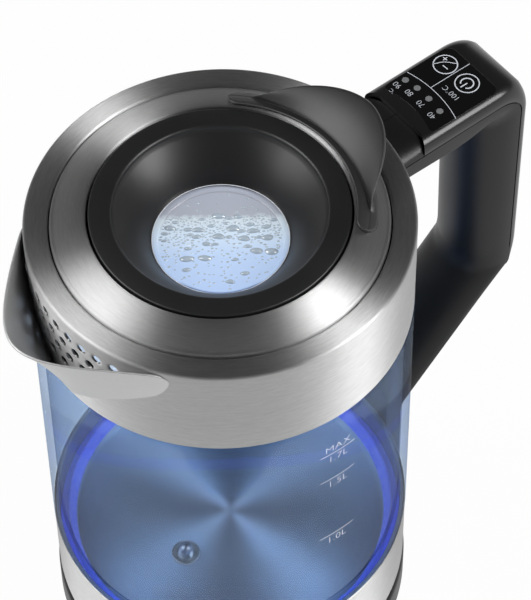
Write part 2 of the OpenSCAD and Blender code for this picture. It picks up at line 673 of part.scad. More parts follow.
module handle_cover() {
    color("DimGray") difference() {
        union() {
            skin(concat([for (i = [cover_last:-1:cover_first]) cover_loop(i)],
                        [cover_loop(cover_first, true)]), true);
            for (s = [-1, 1]) translate([cover_screw_x, s * cover_screw_y, handle_z - cover_top_h - 3])
                cylinder(r = post_r, h = cover_top_h + 3 - 1.4, $fn = 32);
            for (x = board_post_x, s = [-1, 1]) translate([x, s * board_post_y, board_z + board_t + fit])
                cylinder(r = 1.8, h = handle_z - board_z - board_t - fit - 1.6, $fn = 32);
        }
        translate([0, 0, handle_z - panel_t - panel_gap]) linear_extrude(height = panel_t + panel_gap + 1)
            panel_outline(panel_gap);
        for (p = led_spots) translate([p[0], p[1], handle_z - 5]) cylinder(r = 1.5, h = 5, $fn = 24);
        for (y = [power_key_y, temperature_key_y]) translate([key_x, y, handle_z - 5])
            cylinder(r = key_r + 0.1, h = 5, $fn = 32);
        for (s = [-1, 1]) translate([cover_screw_x, s * cover_screw_y, handle_z - cover_top_h - 4])
            cylinder(r = screw_r + fit, h = cover_top_h + 1.6, $fn = 24);
    }
}

module control_panel() {
    color("Black") translate([0, 0, handle_z - panel_t]) linear_extrude(height = panel_t) panel_outline(0);
}

board_x0 = panel_x0 + 6.5;
board_l = 27;
board_w = 25;
board_post_x = [board_x0 + 8, board_x0 + board_l - 2.4];
board_post_y = board_w / 2 - 2.4;

module control_board() {
    color("ForestGreen") translate([board_x0, -board_w / 2, board_z]) cube([board_l, board_w, board_t]);
}

module indicator_leds() {
    color("WhiteSmoke") for (p = led_spots) translate([p[0], p[1], board_z + board_t + fit])
        cylinder(r = 1.3, h = handle_z - panel_t - 0.1 - board_z - board_t - fit, $fn = 24);
}

key_top = handle_z - panel_t - 0.05;
key_flange_z = handle_z - cover_top_h + 2.25;
switch_top = key_flange_z - key_travel - 0.05;

module key(y) {
    translate([key_x, y, key_flange_z]) {
        cylinder(r = key_r, h = key_top - key_flange_z, $fn = 32);
        cylinder(r = key_r + 1.1, h = handle_z - cover_wall - 0.2 - key_flange_z, $fn = 32);
    }
}

module power_key() {
    color("Gray") key(power_key_y);
}

module temperature_key() {
    color("Gray") key(temperature_key_y);
}

module key_switches() {
    z = board_z + board_t + fit;
    color("DarkSlateGray") for (y = [power_key_y, temperature_key_y]) translate([key_x, y, z]) {
        translate([-3, -3, 0]) cube([6, 6, 2.4]);
        cylinder(r = 1.7, h = switch_top - z, $fn = 24);
    }
}

bracket_z = bridge_z + trough_floor + 0.3;

// Steel tongue welded to the collar, which carries the bridge.
module handle_bracket() {
    color("Silver") intersection() {
        union() {
            ring(collar_r + 1.4, collar_r + fit, bracket_z, bracket_z + 4);
            translate([glass_ro + 0.6, -8, bracket_z]) cube([13, 16, 1.2]);
        }
        translate([glass_ro - 10, -8, bracket_z - 1]) cube([30, 16, 8]);
    }
}

module handle_screws() {
    color("DarkGray") {
        for (s = [-1, 1]) translate([cover_screw_x, s * cover_screw_y, bridge_z + 0.2]) screw(cover_screw_l);
        for (s = [-1, 1]) translate([foot_screw_x, s * foot_screw_y, foot_bore_z])
            rotate([0, 90, 0]) screw(foot_screw_l);
    }
}

// Flat run of wires from the board, down the spine, the leg and the foot, into the base.
wire_path = path([[board_x0 + board_l - 10, board_z - 1.6], [wire_x, board_z - 1.6], channel_top,
                  channel_low, [channel_low[0], foot_bore_z], [frame_ri + 2, foot_bore_z]],
                 [4, 5, 4, 1.8], [4, 3, 3, 3], [1, 3, 3, 2, 1]);

function wire_normal(i) = let (a = wire_path[max(0, i - 1)], b = wire_path[min(len(wire_path) - 1, i + 1)],
    d = unit(b - a)) [-d[1], d[0]];

module handle_wiring() {
    color("Firebrick") skin([for (i = [0:len(wire_path) - 1]) let (n = wire_normal(i))
        [for (k = [0:7]) let (c = wire_r * cos(k * 45), s = -wire_r * sin(k * 45))
            [wire_path[i][0] + n[0] * c, s, wire_path[i][1] + n[1] * c]]]);
}

// ---- lid ----

lid_edge_z = collar_z1 + 0.4;                  // top of the lid's outer edge
lid_ring_r = lid_r - lid_ring_w;                // inner radius of the steel ring
lid_round = 1.2;
funnel_z = collar_z1 + lid_rise + 0.6;         // flat top of the funnel
window_z = collar_z1 - window_drop;            // top of the clear window
plug_z = collar_z1 - plug_drop;                // underside of the lid

// height of the ring's domed face at radius r
function dome_z(r) = let (k = max(0, min(1, (r - lid_ring_r) / (lid_ring_w - lid_round))))
    lid_edge_z + lid_rise - lid_rise * pow(k, 1.5);
dome_r = [for (k = [0:8]) lid_ring_r + (lid_ring_w - lid_round) * k / 8];

module lid_ring() {
    t = sheet_t;
    color("Silver") rotate_extrude() polygon(concat(
        [for (r = dome_r) [r, dome_z(r)]],
        [for (a = [60:-30:0]) [lid_r - lid_round * (1 - cos(a)), lid_edge_z - lid_round * (1 - sin(a))]],
        [[lid_r, collar_z1 - 2.4], [lid_r - t, collar_z1 - 2.4], [lid_r - t, lid_edge_z - lid_round]],
        [for (n = [8:-1:1]) [dome_r[n] - t * 0.35, dome_z(dome_r[n]) - t]],
        [[lid_ring_r + t, lid_edge_z + lid_rise - t], [lid_ring_r + t, lid_edge_z + lid_rise - 3],
         [lid_ring_r, lid_edge_z + lid_rise - 3]]));
}

funnel_wall = 2;
funnel_ro = lid_ring_r - 0.8;
boss_r = lid_ring_r - 4.8;     // radius of the ring of lid screws
lid_screw_l = 8;

module lid_funnel() {
    lip = window_r + 2.4;
    color("DimGray") difference() {
        union() {
            rotate_extrude() polygon(concat(
                [[funnel_ro, funnel_z - 4], [funnel_ro, funnel_z - 0.5], [funnel_ro - 0.5, funnel_z]],
                [for (a = [90:30:150]) [funnel_r + 1.2 + 1.2 * cos(a), funnel_z - 1.2 + 1.2 * sin(a)]],
                [for (k = [1:5]) let (s = k / 5) [funnel_r - (funnel_r - window_r - 0.6) * s - 1.2 * sin(180 * s),
                                                 funnel_z - 1.6 - (funnel_z - 1.6 - window_z - 1.2) * s]],
                [[window_r, window_z + 0.6], [window_r, window_z], [lip, window_z], [lip, window_z + 1.4]],
                [[funnel_r + 1, funnel_z - funnel_wall - 0.6], [funnel_ro - funnel_wall, funnel_z - funnel_wall],
                 [funnel_ro - funnel_wall, funnel_z - 4]]));
            around(3, 90) translate([boss_r, 0, plug_z + wall_t + fit])
                cylinder(r = 3, h = funnel_z - 1 - plug_z - wall_t - fit, $fn = 32);
        }
        around(3, 90) translate([boss_r, 0, plug_z + 2]) cylinder(r = screw_r + fit, h = 12, $fn = 24);
    }
}

module window_seal() {
    color("Black") ring(window_r + 2.4, window_r + 0.2, window_z - 0.8, window_z - fit);
}

module lid_window() {
    color("LightBlue", 0.5) translate([0, 0, window_z - 0.8 - fit - window_t]) cylinder(r = window_r + 2.4, h = window_t);
}

// Housing of the plug under the lid.
module lid_body() {
    plug_r = bore_r - 1.6;
    inner_z = window_z - 0.8 - 2 * fit - window_t;
    color("DimGray") difference() {
        rotate_extrude() {
            // bottom plate, outer wall, rim under the steel ring and collar round the window
            translate([window_r, plug_z]) square([plug_r - window_r, wall_t]);
            translate([plug_r - wall_t, plug_z]) square([wall_t, collar_z1 - 2.4 - plug_z]);
            translate([plug_r - wall_t, collar_z1 - lip_h - 0.3]) square([lid_r - sheet_t - fit - plug_r + wall_t, wall_t]);
            translate([window_r, plug_z]) square([wall_t + 3, inner_z - plug_z]);
            translate([window_r + 2.4 + fit, plug_z]) square([wall_t, window_z - 0.4 - plug_z]);
            // lands either side of the gasket
            translate([plug_r - 0.5, gasket_z - 1.6]) square([0.9, 1.5]);
            translate([plug_r - 0.5, gasket_z + gasket_h + 0.1]) square([0.9, 1.5]);
        }
        around(3, 90) translate([boss_r, 0, plug_z - 1]) {
            cylinder(r = screw_r + 0.2, h = 6, $fn = 24);
            cylinder(r = head_r + 0.2, h = 2.4, $fn = 32);
        }
    }
}

gasket_h = 3;
gasket_z = collar_z1 - bore_depth + 3;

module lid_gasket() {
    color("WhiteSmoke") ring(bore_r - 0.08, bore_r - 1.6 + fit, gasket_z, gasket_z + gasket_h);
}

module lid_screws() {
    color("DarkGray") around(3, 90) translate([boss_r, 0, plug_z + 0.1]) screw(lid_screw_l);
}

// Pull tab: a flat band on the lid's steel ring, with a wing that leans out from a crease along the band
// and tapers away to both ends.
band_r0 = lid_ring_r + 1.7;
crease_w = 3.1;                // from the band's inner edge to the crease, at the middle
wing_foot = band_r0 + crease_w;
wing_half_angle = tab_half_angle - 9.5;

function taper(a, p, q) = pow(max(0, 1 - pow(abs(a) / wing_half_angle, p)), q);
function tab_loop(a) =
    let (end = (tab_half_angle - abs(a)) * PI / 180 * (band_r0 + tab_band_w / 2), hw2 = tab_band_w / 2,
         s = min(1, max(0.04, end / hw2)), w = hw2 * sqrt(1 - pow(1 - s, 2)), mid = band_r0 + hw2,
         t = tab_band_t, seat = 0.12, top = function (r) dome_z(r) + seat + t,
         rise = taper(a, 2.2, 0.9) * tab_wing_h, lean = taper(a, 1.7, 1.6) * tab_wing_lean,
         g = rise / tab_wing_h, wt = 0.5 + 1.3 * g,
         c = min(wing_foot + 1.6 * (1 - g), mid + w * 0.5), o = mid + w * 0.6,
         loop = [[mid - w, dome_z(mid - w) + seat], [mid - w, top(mid - w) - 0.35], [mid - w * 0.9, top(mid - w * 0.9)],
                 [max(c, mid - w * 0.8), top(max(c, mid - w * 0.8))],
                 [c + lean * 0.3, top(c) + rise * 0.42], [c + lean * 0.7, top(c) + rise * 0.84],
                 [c + lean, top(c) + rise],
                 [c + lean + wt * 0.5 * g, top(c) + rise - wt * 0.9 * g],
                 [max(o, c + lean * 0.66), top(o) + rise * 0.62 - wt * 0.5 * g],
                 [max(o, c + lean * 0.4), top(o) + rise * 0.25],
                 [o, top(o)],
                 [mid + w * 0.9, top(mid + w * 0.9)], [mid + w, top(mid + w) - 0.35],
                 for (k = [1:-0.5:-0.5]) [mid + w * k, dome_z(mid + w * k) + seat]])
    [for (q = loop) [q[0] * cos(a), q[0] * sin(a), q[1]]];

module lid_tab() {
    n = 20;
    color("DimGray") skin([for (i = [-n:n]) let (k = i / n) tab_loop(tab_half_angle * sign(k) * (1 - pow(1 - abs(k), 1.4)))]);
}

// ---- power base ----

base_floor_t = 2.4;
base_wall_t = 2.4;
base_post_r = power_base_r - 36;               // radius of the ring of base screws
base_screw_l = 9;
hub_r = 24;                    // radius of the housing's foot

module power_base_cover() {
    r = power_base_r;
    s = power_base_shoulder;
    z0 = foot_h + 0.6;
    inner_z = seat_z - base_floor_t;
    color("DimGray") difference() {
        rotate_extrude() polygon([
            [r, z0], for (a = [0:15:90]) [r - s + s * cos(a), seat_z - s + s * sin(a)],
            [socket_r + 0.5, seat_z], [socket_r + 0.5, inner_z],
            [r - base_wall_t - 1.5, inner_z], [r - base_wall_t, inner_z - 1.5], [r - base_wall_t, z0]]);
        translate([0, 0, gland_z]) rotate([0, 90, 0]) cylinder(r = gland_r + fit, h = r + 5, $fn = 48);
    }
}

module power_base_plate() {
    color("DimGray") difference() {
        translate([0, 0, foot_h]) cylinder(r = power_base_r - base_wall_t - 0.3, h = wall_t);
        around(3) translate([base_post_r, 0, foot_h - 1]) {
            cylinder(r = screw_r + 0.2, h = 5, $fn = 24);
            cylinder(r = head_r + 0.2, h = 2.4, $fn = 32);
        }
    }
}

foot_r = power_base_r - 16;    // middle of the rubber ring
foot_w = 6;

module base_foot() {
    color("Black") rotate_extrude() polygon([
        [foot_r - foot_w / 2, 0], [foot_r + foot_w / 2, 0],
        [foot_r + foot_w / 2 + 0.6, foot_h - fit], [foot_r - foot_w / 2 - 0.6, foot_h - fit]]);
}

module base_screws() {
    color("DarkGray") around(3) translate([base_post_r, 0, foot_h + 0.1]) screw(base_screw_l);
}

gland_r = cord_bore_r + 1.2;
gland_z = foot_h + wall_t + gland_r + 0.6;
gland_x = power_base_r - base_wall_t - 3.4;

// Cord outlet in the wall of the power base.
module cord_gland() {
    out = power_base_r + 0.1 - gland_x;
    color("Black") translate([gland_x, 0, gland_z]) rotate([0, 90, 0]) difference() {
        union() {
            cylinder(r = gland_r, h = out + 3, $fn = 48);
            cylinder(r = gland_r + 0.4, h = 1.8, $fn = 48);
            translate([0, 0, out]) cylinder(r1 = gland_r + 1.2, r2 = gland_r + 0.6, h = 2, $fn = 48);
        }
        translate([0, 0, -1]) cylinder(r = cord_bore_r, h = out + 5, $fn = 48);
    }
}

housing_z = foot_h + wall_t + fit;

// Fixed cup that the socket turns in, and posts for the base screws.
module socket_housing() {
    color("DimGray") difference() {
        union() {
            translate([0, 0, housing_z]) cylinder(r = socket_r + 5, h = seat_z - base_floor_t - fit - housing_z);
            translate([0, 0, housing_z]) cylinder(r = hub_r, h = 3);
            around(3) translate([hub_r - 4, -3.2, housing_z]) cube([base_post_r - hub_r + 4, 6.4, 3]);
            around(3) translate([base_post_r, 0, housing_z]) cylinder(r = 3.4, h = seat_z - base_floor_t - fit - housing_z, $fn = 32);
        }
        translate([0, 0, housing_z + 3]) cylinder(r = socket_r + 2.05, h = seat_z);
        around(3) translate([base_post_r, 0, housing_z - 1]) cylinder(r = screw_r + fit, h = 9.6, $fn = 24);
    }
}

module base_socket() {
    color("Black") difference() {
        union() {
            translate([0, 0, housing_z + 3.1]) cylinder(r = socket_r + 2, h = seat_z - base_floor_t - 0.3 - housing_z - 3.1);
            translate([0, 0, housing_z + 3.1]) cylinder(r = socket_r, h = seat_z + socket_h - housing_z - 3.1);
        }
        ring(socket_r - 2, socket_r - 4, seat_z + 2, seat_z + socket_h + 1);
        ring(socket_r - 6, socket_r - 8, seat_z + 2, seat_z + socket_h + 1);
    }
}

module base_contacts() {
    color("Goldenrod") {
        ring(socket_r - 2.2, socket_r - 2.9, seat_z + 2 + fit, seat_z + socket_h - 2);
        ring(socket_r - 6.2, socket_r - 6.9, seat_z + 2 + fit, seat_z + socket_h - 2);
    }
}

glass_body();
top_collar();
spout();
collar_liner();
collar_seal();
base_ring();
base_seal();
heating_plate();
plate_seal();
heat_spreader();
heating_element();
boil_dry_discs();
temperature_probe();
light_ring();
light_leds();
led_board();
base_frame();
power_board();
kettle_base_cover();
kettle_connector();
connector_contacts();
bottom_screws();
handle_shell();
handle_bridge();
handle_cover();
handle_bracket();
control_panel();
control_board();
indicator_leds();
key_switches();
power_key();
temperature_key();
handle_screws();
handle_wiring();
lid_ring();
lid_funnel();
lid_window();
window_seal();
lid_tab();
lid_body();
lid_gasket();
lid_screws();
power_base_cover();
power_base_plate();
base_foot();
base_screws();
cord_gland();
socket_housing();
base_socket();
base_contacts();
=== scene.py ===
import json
import math

import bmesh
import bpy
import mathutils
import numpy as np
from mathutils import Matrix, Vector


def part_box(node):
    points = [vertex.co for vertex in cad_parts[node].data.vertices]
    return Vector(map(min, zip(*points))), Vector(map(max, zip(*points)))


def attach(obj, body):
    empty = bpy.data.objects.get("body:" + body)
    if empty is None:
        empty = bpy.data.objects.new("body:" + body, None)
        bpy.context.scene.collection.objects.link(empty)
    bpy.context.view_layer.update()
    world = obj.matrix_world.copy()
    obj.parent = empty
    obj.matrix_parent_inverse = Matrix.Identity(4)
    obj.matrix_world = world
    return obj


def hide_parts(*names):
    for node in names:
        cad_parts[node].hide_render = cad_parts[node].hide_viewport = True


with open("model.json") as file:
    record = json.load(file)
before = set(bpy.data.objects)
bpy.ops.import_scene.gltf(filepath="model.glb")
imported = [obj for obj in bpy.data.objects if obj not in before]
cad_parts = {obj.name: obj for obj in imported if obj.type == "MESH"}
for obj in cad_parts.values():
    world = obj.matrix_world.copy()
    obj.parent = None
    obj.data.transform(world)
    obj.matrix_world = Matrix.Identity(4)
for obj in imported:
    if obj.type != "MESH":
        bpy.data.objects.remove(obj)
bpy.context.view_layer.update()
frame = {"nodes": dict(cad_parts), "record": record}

bl_info = {
    "name": "Glass kettle",
    "version": (1, 0, 0),
    "blender": (4, 5, 0),
    "location": "View3D > Sidebar > Kettle",
    "description": "Builds a glass kettle with a steel collar, a keypad handle and a power base round its frame",
    "category": "Add Mesh",
}

MM = 0.001
TURN = 2 * math.pi
CAMERA_TURN = -37.5              # degrees from the kettle's x axis to the camera's right-hand direction
SHEET = 0.8                      # thickness of the steel sheet, in millimetres
FIT = 0.05                       # gap between pieces that touch, in millimetres


def top_of(node):
    return round(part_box(node)[1].z / MM, 3)


def foot_of(node):
    return round(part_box(node)[0].z / MM, 3)


def reach_of(node):
    return round(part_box(node)[1].x / MM, 3)


# ---- sizes and colours ----


def length(label, text, value_mm):
    return bpy.props.FloatProperty(name=label, description=text, default=value_mm * MM, unit="LENGTH",
                                   subtype="DISTANCE", precision=5)


def colour(label, text, rgb):
    return bpy.props.FloatVectorProperty(name=label, description=text, default=rgb, subtype="COLOR", min=0, max=1)


class KettleSizes(bpy.types.PropertyGroup):
    collar_radius: length("Collar radius", "Outer radius of the steel collar", reach_of("top_collar"))
    collar_top: length("Collar top", "Height of the collar's flat top above the table", top_of("top_collar"))
    collar_foot: length("Collar foot", "Height of the collar's lower edge", foot_of("top_collar"))
    glass_radius: length("Glass radius", "Outer radius of the glass", reach_of("glass_body"))
    ring_top: length("Base ring top", "Height of the base ring's upper edge", top_of("base_ring"))
    plate_level: length("Plate level", "Height of the heating plate", foot_of("heating_plate") + SHEET)
    lid_radius: length("Lid radius", "Outer radius of the lid's steel ring", reach_of("lid_ring"))
    hole_diameter: length("Filter hole", "Diameter of one filter hole in the collar", 3.6)
    handle_reach: length("Handle reach", "Distance from the axis to the handle's outside", reach_of("handle_cover"))
    handle_width: length("Handle width", "Width of the handle", 2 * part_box("handle_cover")[1].y / MM)
    base_radius: length("Power base radius", "Outer radius of the power base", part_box("power_base_cover")[1].y / MM)
    drop_count: bpy.props.IntProperty(name="Drops", description="Number of drops on the window", default=560, min=0)


class KettleColours(bpy.types.PropertyGroup):
    steel: colour("Steel", "Brushed steel of the collar and the lid", (0.55, 0.55, 0.55))
    # the plate's blue is painted light: the blue glow of the ring falling on the steel
    plate: colour("Plate", "Steel of the heating plate", (0.45, 0.59, 0.76))
    # partly the glass's own tint and partly painted light: the blue glow of the ring that fills the kettle
    glass: colour("Glass", "Tint of the glass", (0.60, 0.71, 0.86))
    glow: colour("Glow", "Light of the ring round the plate", (0.08, 0.13, 0.80))
    black: colour("Black plastic", "Handle, funnel and tab", (0.007, 0.007, 0.0075))
    # the window's blue stands for the lit water seen through it: painted light
    window: colour("Window", "Misted window in the lid", (0.50, 0.59, 0.80))
    ink: colour("Print", "Print on the panel and the glass", (0.62, 0.65, 0.70))


def mm(name):
    return getattr(bpy.context.scene.kettle_sizes, name) / MM


def tone(name):
    return tuple(getattr(bpy.context.scene.kettle_colours, name))


# ---- surfaces ----


def unit(v):
    return v / np.maximum(np.linalg.norm(v, axis=-1, keepdims=True), 1e-12)


def ease(x):
    """Smooth step: 0 below 0, 1 above 1, three times the square less twice the cube between."""
    c = np.clip(x, 0.0, 1.0)
    return c * c * (3 - 2 * c)


def round_axis(r, a, z):
    """Points at radius r, angle a and height z: x = r cos a, y = r sin a."""
    return np.stack(np.broadcast_arrays(r * np.cos(a), r * np.sin(a), z), -1)


def spin(degrees):
    """The matrix that turns points round the Z axis."""
    c, s = math.cos(math.radians(degrees)), math.sin(math.radians(degrees))
    return np.array([[c, -s, 0], [s, c, 0], [0, 0, 1]])


def rounded(points, radii, steps=6, closed=False):
    """A line through corners, each replaced by an arc that touches both sides; steps is an arc's number of chords."""
    p = np.array(points, float)
    n = len(p)
    chords = [steps] * n if isinstance(steps, int) else steps
    out = [] if closed else [p[:1]]
    for k, i in enumerate(range(n) if closed else range(1, n - 1)):
        a, b, c, r = p[i - 1], p[i], p[(i + 1) % n], radii[k]
        if r == 0:
            out.append(b[None])
            continue
        d1, d2 = unit(b - a), unit(c - b)
        turn = math.atan2(d1[0] * d2[1] - d1[1] * d2[0], d1 @ d2)
        start = b - d1 * r * math.tan(abs(turn) / 2)
        centre = start + math.copysign(r, turn) * np.array([-d1[1], d1[0]])
        t = turn * np.linspace(0, 1, chords[k] + 1)[:, None]
        v = start - centre
        out.append(centre + (v * np.cos(t) + np.array([-v[1], v[0]]) * np.sin(t)))
    return np.vstack(out if closed else out + [p[-1:]])


def grid_faces(m, n, close_m=False, close_n=False):
    """Four-sided faces between the neighbours of an m by n grid of points, which may join up either way."""
    i, j = np.meshgrid(np.arange(m if close_m else m - 1), np.arange(n if close_n else n - 1), indexing="ij")
    a, b = i * n + j, i * n + (j + 1) % n
    k = (i + 1) % m * n
    return np.stack([a, b, k + (j + 1) % n, k + j], -1).reshape(-1, 4)


def patch(points, close_m=False, close_n=False):
    """A grid of points (m, n, 3) as a pair of points and faces."""
    m, n = points.shape[:2]
    return points.reshape(-1, 3), grid_faces(m, n, close_m, close_n)


def turned(profile, angles=None, closed=True):
    """A profile of (radius, height) carried round the axis."""
    p = np.asarray(profile, float)
    full = angles is None
    a = np.linspace(0, TURN, 241)[:-1] if full else np.asarray(angles, float)
    return patch(round_axis(p[:, :1], a, p[:, 1:]), closed, full or abs(a[-1] - a[0]) > TURN - 0.3)


def drum(corners, radii, steps=6, closed=True):
    """A rounded profile carried round the axis; one that isn't closed starts and ends on the axis."""
    return turned(rounded(corners, radii, steps, closed), closed=closed)


def capped(loops):
    """A loft of closed sections (m, n, 3), its two ends filled by strips between the halves of the section."""
    half = loops.shape[1] // 2
    return [patch(loops, close_n=True)] + [patch(np.stack([loops[e, :half], loops[e, ::-1][:half]])) for e in (0, -1)]


def ring_line(x, y, r, a0=0.0, a1=360.0, n=48):
    """Points of an arc round (x, y), from angle a0 to a1 in degrees."""
    a = np.radians(np.linspace(a0, a1, n + 1))
    return np.c_[x + r * np.cos(a), y + r * np.sin(a)]


def joined(patches):
    """Several patches as one list of points and one of faces."""
    at = np.cumsum([0] + [len(v) for v, _ in patches[:-1]])
    faces = [(np.array(f) + k).tolist() for k, (_, fs) in zip(at, patches) for f in fs]
    return np.vstack([v for v, _ in patches]), faces


def shown(name, data):
    """A new object of this data, in the scene."""
    obj = bpy.data.objects.new(name, data)
    bpy.context.scene.collection.objects.link(obj)
    return obj


def piece(name, patches, material, nodes, body="kettle", sharp=32, levels=0):
    """A finished piece: its patches welded into closed skins that face outwards, smooth except at edges over `sharp`
    degrees. It wears a finish, rides on a body and takes the place of the frame's nodes, which it hides."""
    verts, faces = joined(patches)
    mesh = bpy.data.meshes.new(name)
    mesh.from_pydata(verts * MM, [], faces)
    bm = bmesh.new()
    bm.from_mesh(mesh)
    bmesh.ops.remove_doubles(bm, verts=bm.verts, dist=2e-6)
    bmesh.ops.dissolve_degenerate(bm, edges=bm.edges, dist=1e-7)
    bmesh.ops.recalc_face_normals(bm, faces=bm.faces)
    bm.to_mesh(mesh)
    bm.free()
    mesh.shade_smooth()
    mesh.set_sharp_from_angle(angle=math.radians(sharp))
    mesh.materials.append(finish(material))
    obj = shown(name, mesh)
    if levels:
        smooth = obj.modifiers.new("smooth", "SUBSURF")
        smooth.levels = smooth.render_levels = levels
    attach(obj, body)
    if nodes:
        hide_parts(*nodes)


# ---- materials ----

PREFIX = "kettle_"               # keeps these finishes apart from the frame's own materials


def finish(name):
    return bpy.data.materials[PREFIX + name]


def feed(tree, node, **sockets):
    """Sets a node's properties and inputs: a socket is linked, anything else is a value; _n stands for input n."""
    for key, value in sockets.items():
        if hasattr(node, key) and key not in node.inputs:
            setattr(node, key, value)
            continue
        socket = node.inputs[int(key[1:])] if key[0] == "_" else node.inputs[key.replace("_", " ")]
        if isinstance(value, bpy.types.NodeSocket):
            tree.links.new(value, socket)
        else:
            socket.default_value = value
    return node


def add(tree, kind, **sockets):
    return feed(tree, tree.nodes.new("ShaderNode" + kind), **sockets)


def maths(tree, operation, a, b=0.0, clamp=False):
    return add(tree, "Math", operation=operation, use_clamp=clamp, _0=a, _1=b).outputs[0]


def vector(tree, operation, a, **others):
    node = add(tree, "VectorMath", operation=operation, _0=a, **others)
    return node.outputs["Value" if operation in ("LENGTH", "DOT_PRODUCT") else "Vector"]


def noise(tree, place, **others):
    return add(tree, "TexNoise", Vector=place, **others).outputs[0]


def mixed(tree, share, *colours):
    """A mix of two colours, each a socket or three numbers."""
    a, b = (c if isinstance(c, bpy.types.NodeSocket) else (*c, 1) for c in colours)
    return add(tree, "Mix", data_type="RGBA", _0=share, _6=a, _7=b).outputs[2]


def effect(name, label, value, pattern, rise):
    """A node group with the inputs `label` and Depth and the outputs Mask and Normal; `pattern` makes the mask and
    the height of the bumps, which are up to `rise` high."""
    tree = bpy.data.node_groups.new(name, "ShaderNodeTree")
    for title, default in ((label, value), ("Depth", 0.3)):
        tree.interface.new_socket(title, in_out="INPUT", socket_type="NodeSocketFloat").default_value = default
    for title, kind in (("Mask", "NodeSocketFloat"), ("Normal", "NodeSocketVector")):
        tree.interface.new_socket(title, in_out="OUTPUT", socket_type=kind)
    given = tree.nodes.new("NodeGroupInput").outputs
    mask, height = pattern(tree, add(tree, "TexCoord").outputs["Object"], given[label])
    bump = add(tree, "Bump", Strength=given["Depth"], Distance=rise, Height=height)
    feed(tree, tree.nodes.new("NodeGroupOutput"), Mask=mask, Normal=bump.outputs[0])


def turned_lines(tree, place, fineness):
    """Lines round the kettle's axis: noise that is fine in height and in radius and coarse along the way round."""
    flat = vector(tree, "MULTIPLY", place, _1=(1, 1, 0))
    radius = vector(tree, "LENGTH", flat)
    height = add(tree, "SeparateXYZ", _0=place).outputs["Z"]
    fine = maths(tree, "MULTIPLY", fineness, 1000.0)
    along_way = vector(tree, "SCALE", flat, Scale=210.0)
    up = add(tree, "CombineXYZ", Z=maths(tree, "MULTIPLY", height, fine)).outputs[0]
    lines = noise(tree, vector(tree, "ADD", along_way, _1=up), noise_dimensions="4D",
                  W=maths(tree, "MULTIPLY", radius, fine), Scale=1.0, Detail=3.0, Roughness=0.65)
    return lines, lines


def moulded_grain(tree, place, size):
    """The skin of moulded plastic: a broad cloud as the mask, and fine noise as the height."""
    grain = noise(tree, place, Scale=maths(tree, "DIVIDE", 1000.0, size), Detail=2.0)
    return noise(tree, place, Scale=45.0, Detail=3.0), grain


def new_material(name, rgb, **sockets):
    """A material of one Principled shader: the material, its tree and the shader."""
    material = bpy.data.materials.new(name)
    material.use_nodes = True
    tree = material.node_tree
    shader = feed(tree, tree.nodes["Principled BSDF"], Base_Color=(*rgb, 1), **sockets)
    return material, tree, shader


def surface(tree, output):
    feed(tree, tree.nodes["Material Output"], Surface=output)


def finish_of(name, effect_name, rgb, size, depth, spread, low, high, **sockets):
    """A finish whose colour varies by `spread` and whose roughness runs from `low` to `high` with the effect's mask."""
    _, tree, shader = new_material(PREFIX + name, rgb, **sockets)
    group = add(tree, "Group", node_tree=bpy.data.node_groups[effect_name], _0=size, _1=depth)
    mask = group.outputs["Mask"]
    varied = mixed(tree, mask, [c * (1 - spread) for c in rgb], [min(1, c * (1 + spread)) for c in rgb])
    rough = add(tree, "MapRange", Value=mask, To_Min=low, To_Max=high)
    feed(tree, shader, Base_Color=varied, Roughness=rough.outputs[0], Normal=group.outputs["Normal"])
    if "Anisotropic" in sockets:
        tangent = add(tree, "Tangent", direction_type="RADIAL", axis="Z")
        feed(tree, shader, Anisotropic_Rotation=0.25, Tangent=tangent.outputs[0])


def clear_glass(rgb, edge, solid=0.12, shade=0.1):
    """Glass: the share `solid` is a refracting shader, whose alpha falls to `shade` for shadow rays alone, so that what
    is inside is lit. The rest is a clear one, whose tint deepens from the root of the colour to `edge` with the square
    of the slant at which it is seen, as a thick wall's does."""
    _, tree, shader = new_material(PREFIX + "glass", rgb, Roughness=0.0, Transmission_Weight=1.0, IOR=1.2)
    shadow = add(tree, "LightPath").outputs["Is Shadow Ray"]
    feed(tree, shader, Alpha=maths(tree, "SUBTRACT", 1.0, maths(tree, "MULTIPLY", shadow, 1 - shade)))
    slant = add(tree, "LayerWeight", Blend=0.5).outputs["Facing"]
    share = maths(tree, "POWER", add(tree, "MapRange", Value=slant, From_Min=0.4, From_Max=1.0).outputs[0], 2.0)
    clear = add(tree, "BsdfTransparent", Color=mixed(tree, share, [c ** 0.5 for c in rgb], edge))
    surface(tree, add(tree, "MixShader", _0=solid, _1=clear.outputs[0], _2=shader.outputs[0]).outputs[0])


# the window's colours, place from the front edge (0) to the back edge (1): painted light, the blue glow of the lit
# water seen in front, mist between, and the air behind in painted shade
WINDOW_PAINTED_LIGHT_BANDS = ((0.0, (0.38, 0.50, 0.73)), (0.35, (0.41, 0.53, 0.74)), (0.55, (0.50, 0.60, 0.72)),
                (0.70, (0.50, 0.57, 0.63)), (0.745, (0.32, 0.345, 0.40)), (1.0, (0.32, 0.34, 0.41)))
WINDOW_R = 24.4
# painted shade: a dark line where the step round the window is seen at the back, and a dark crescent at the front edge
RIM_PAINTED_SHADE, FRONT_PAINTED_SHADE = (0.24, 0.25, 0.29), (0.06, 0.12, 0.27)
LINE_AT, EDGE_AT = 0.905, 0.925  # shares of the rim where the painted shade line runs and the painted dark crescent starts
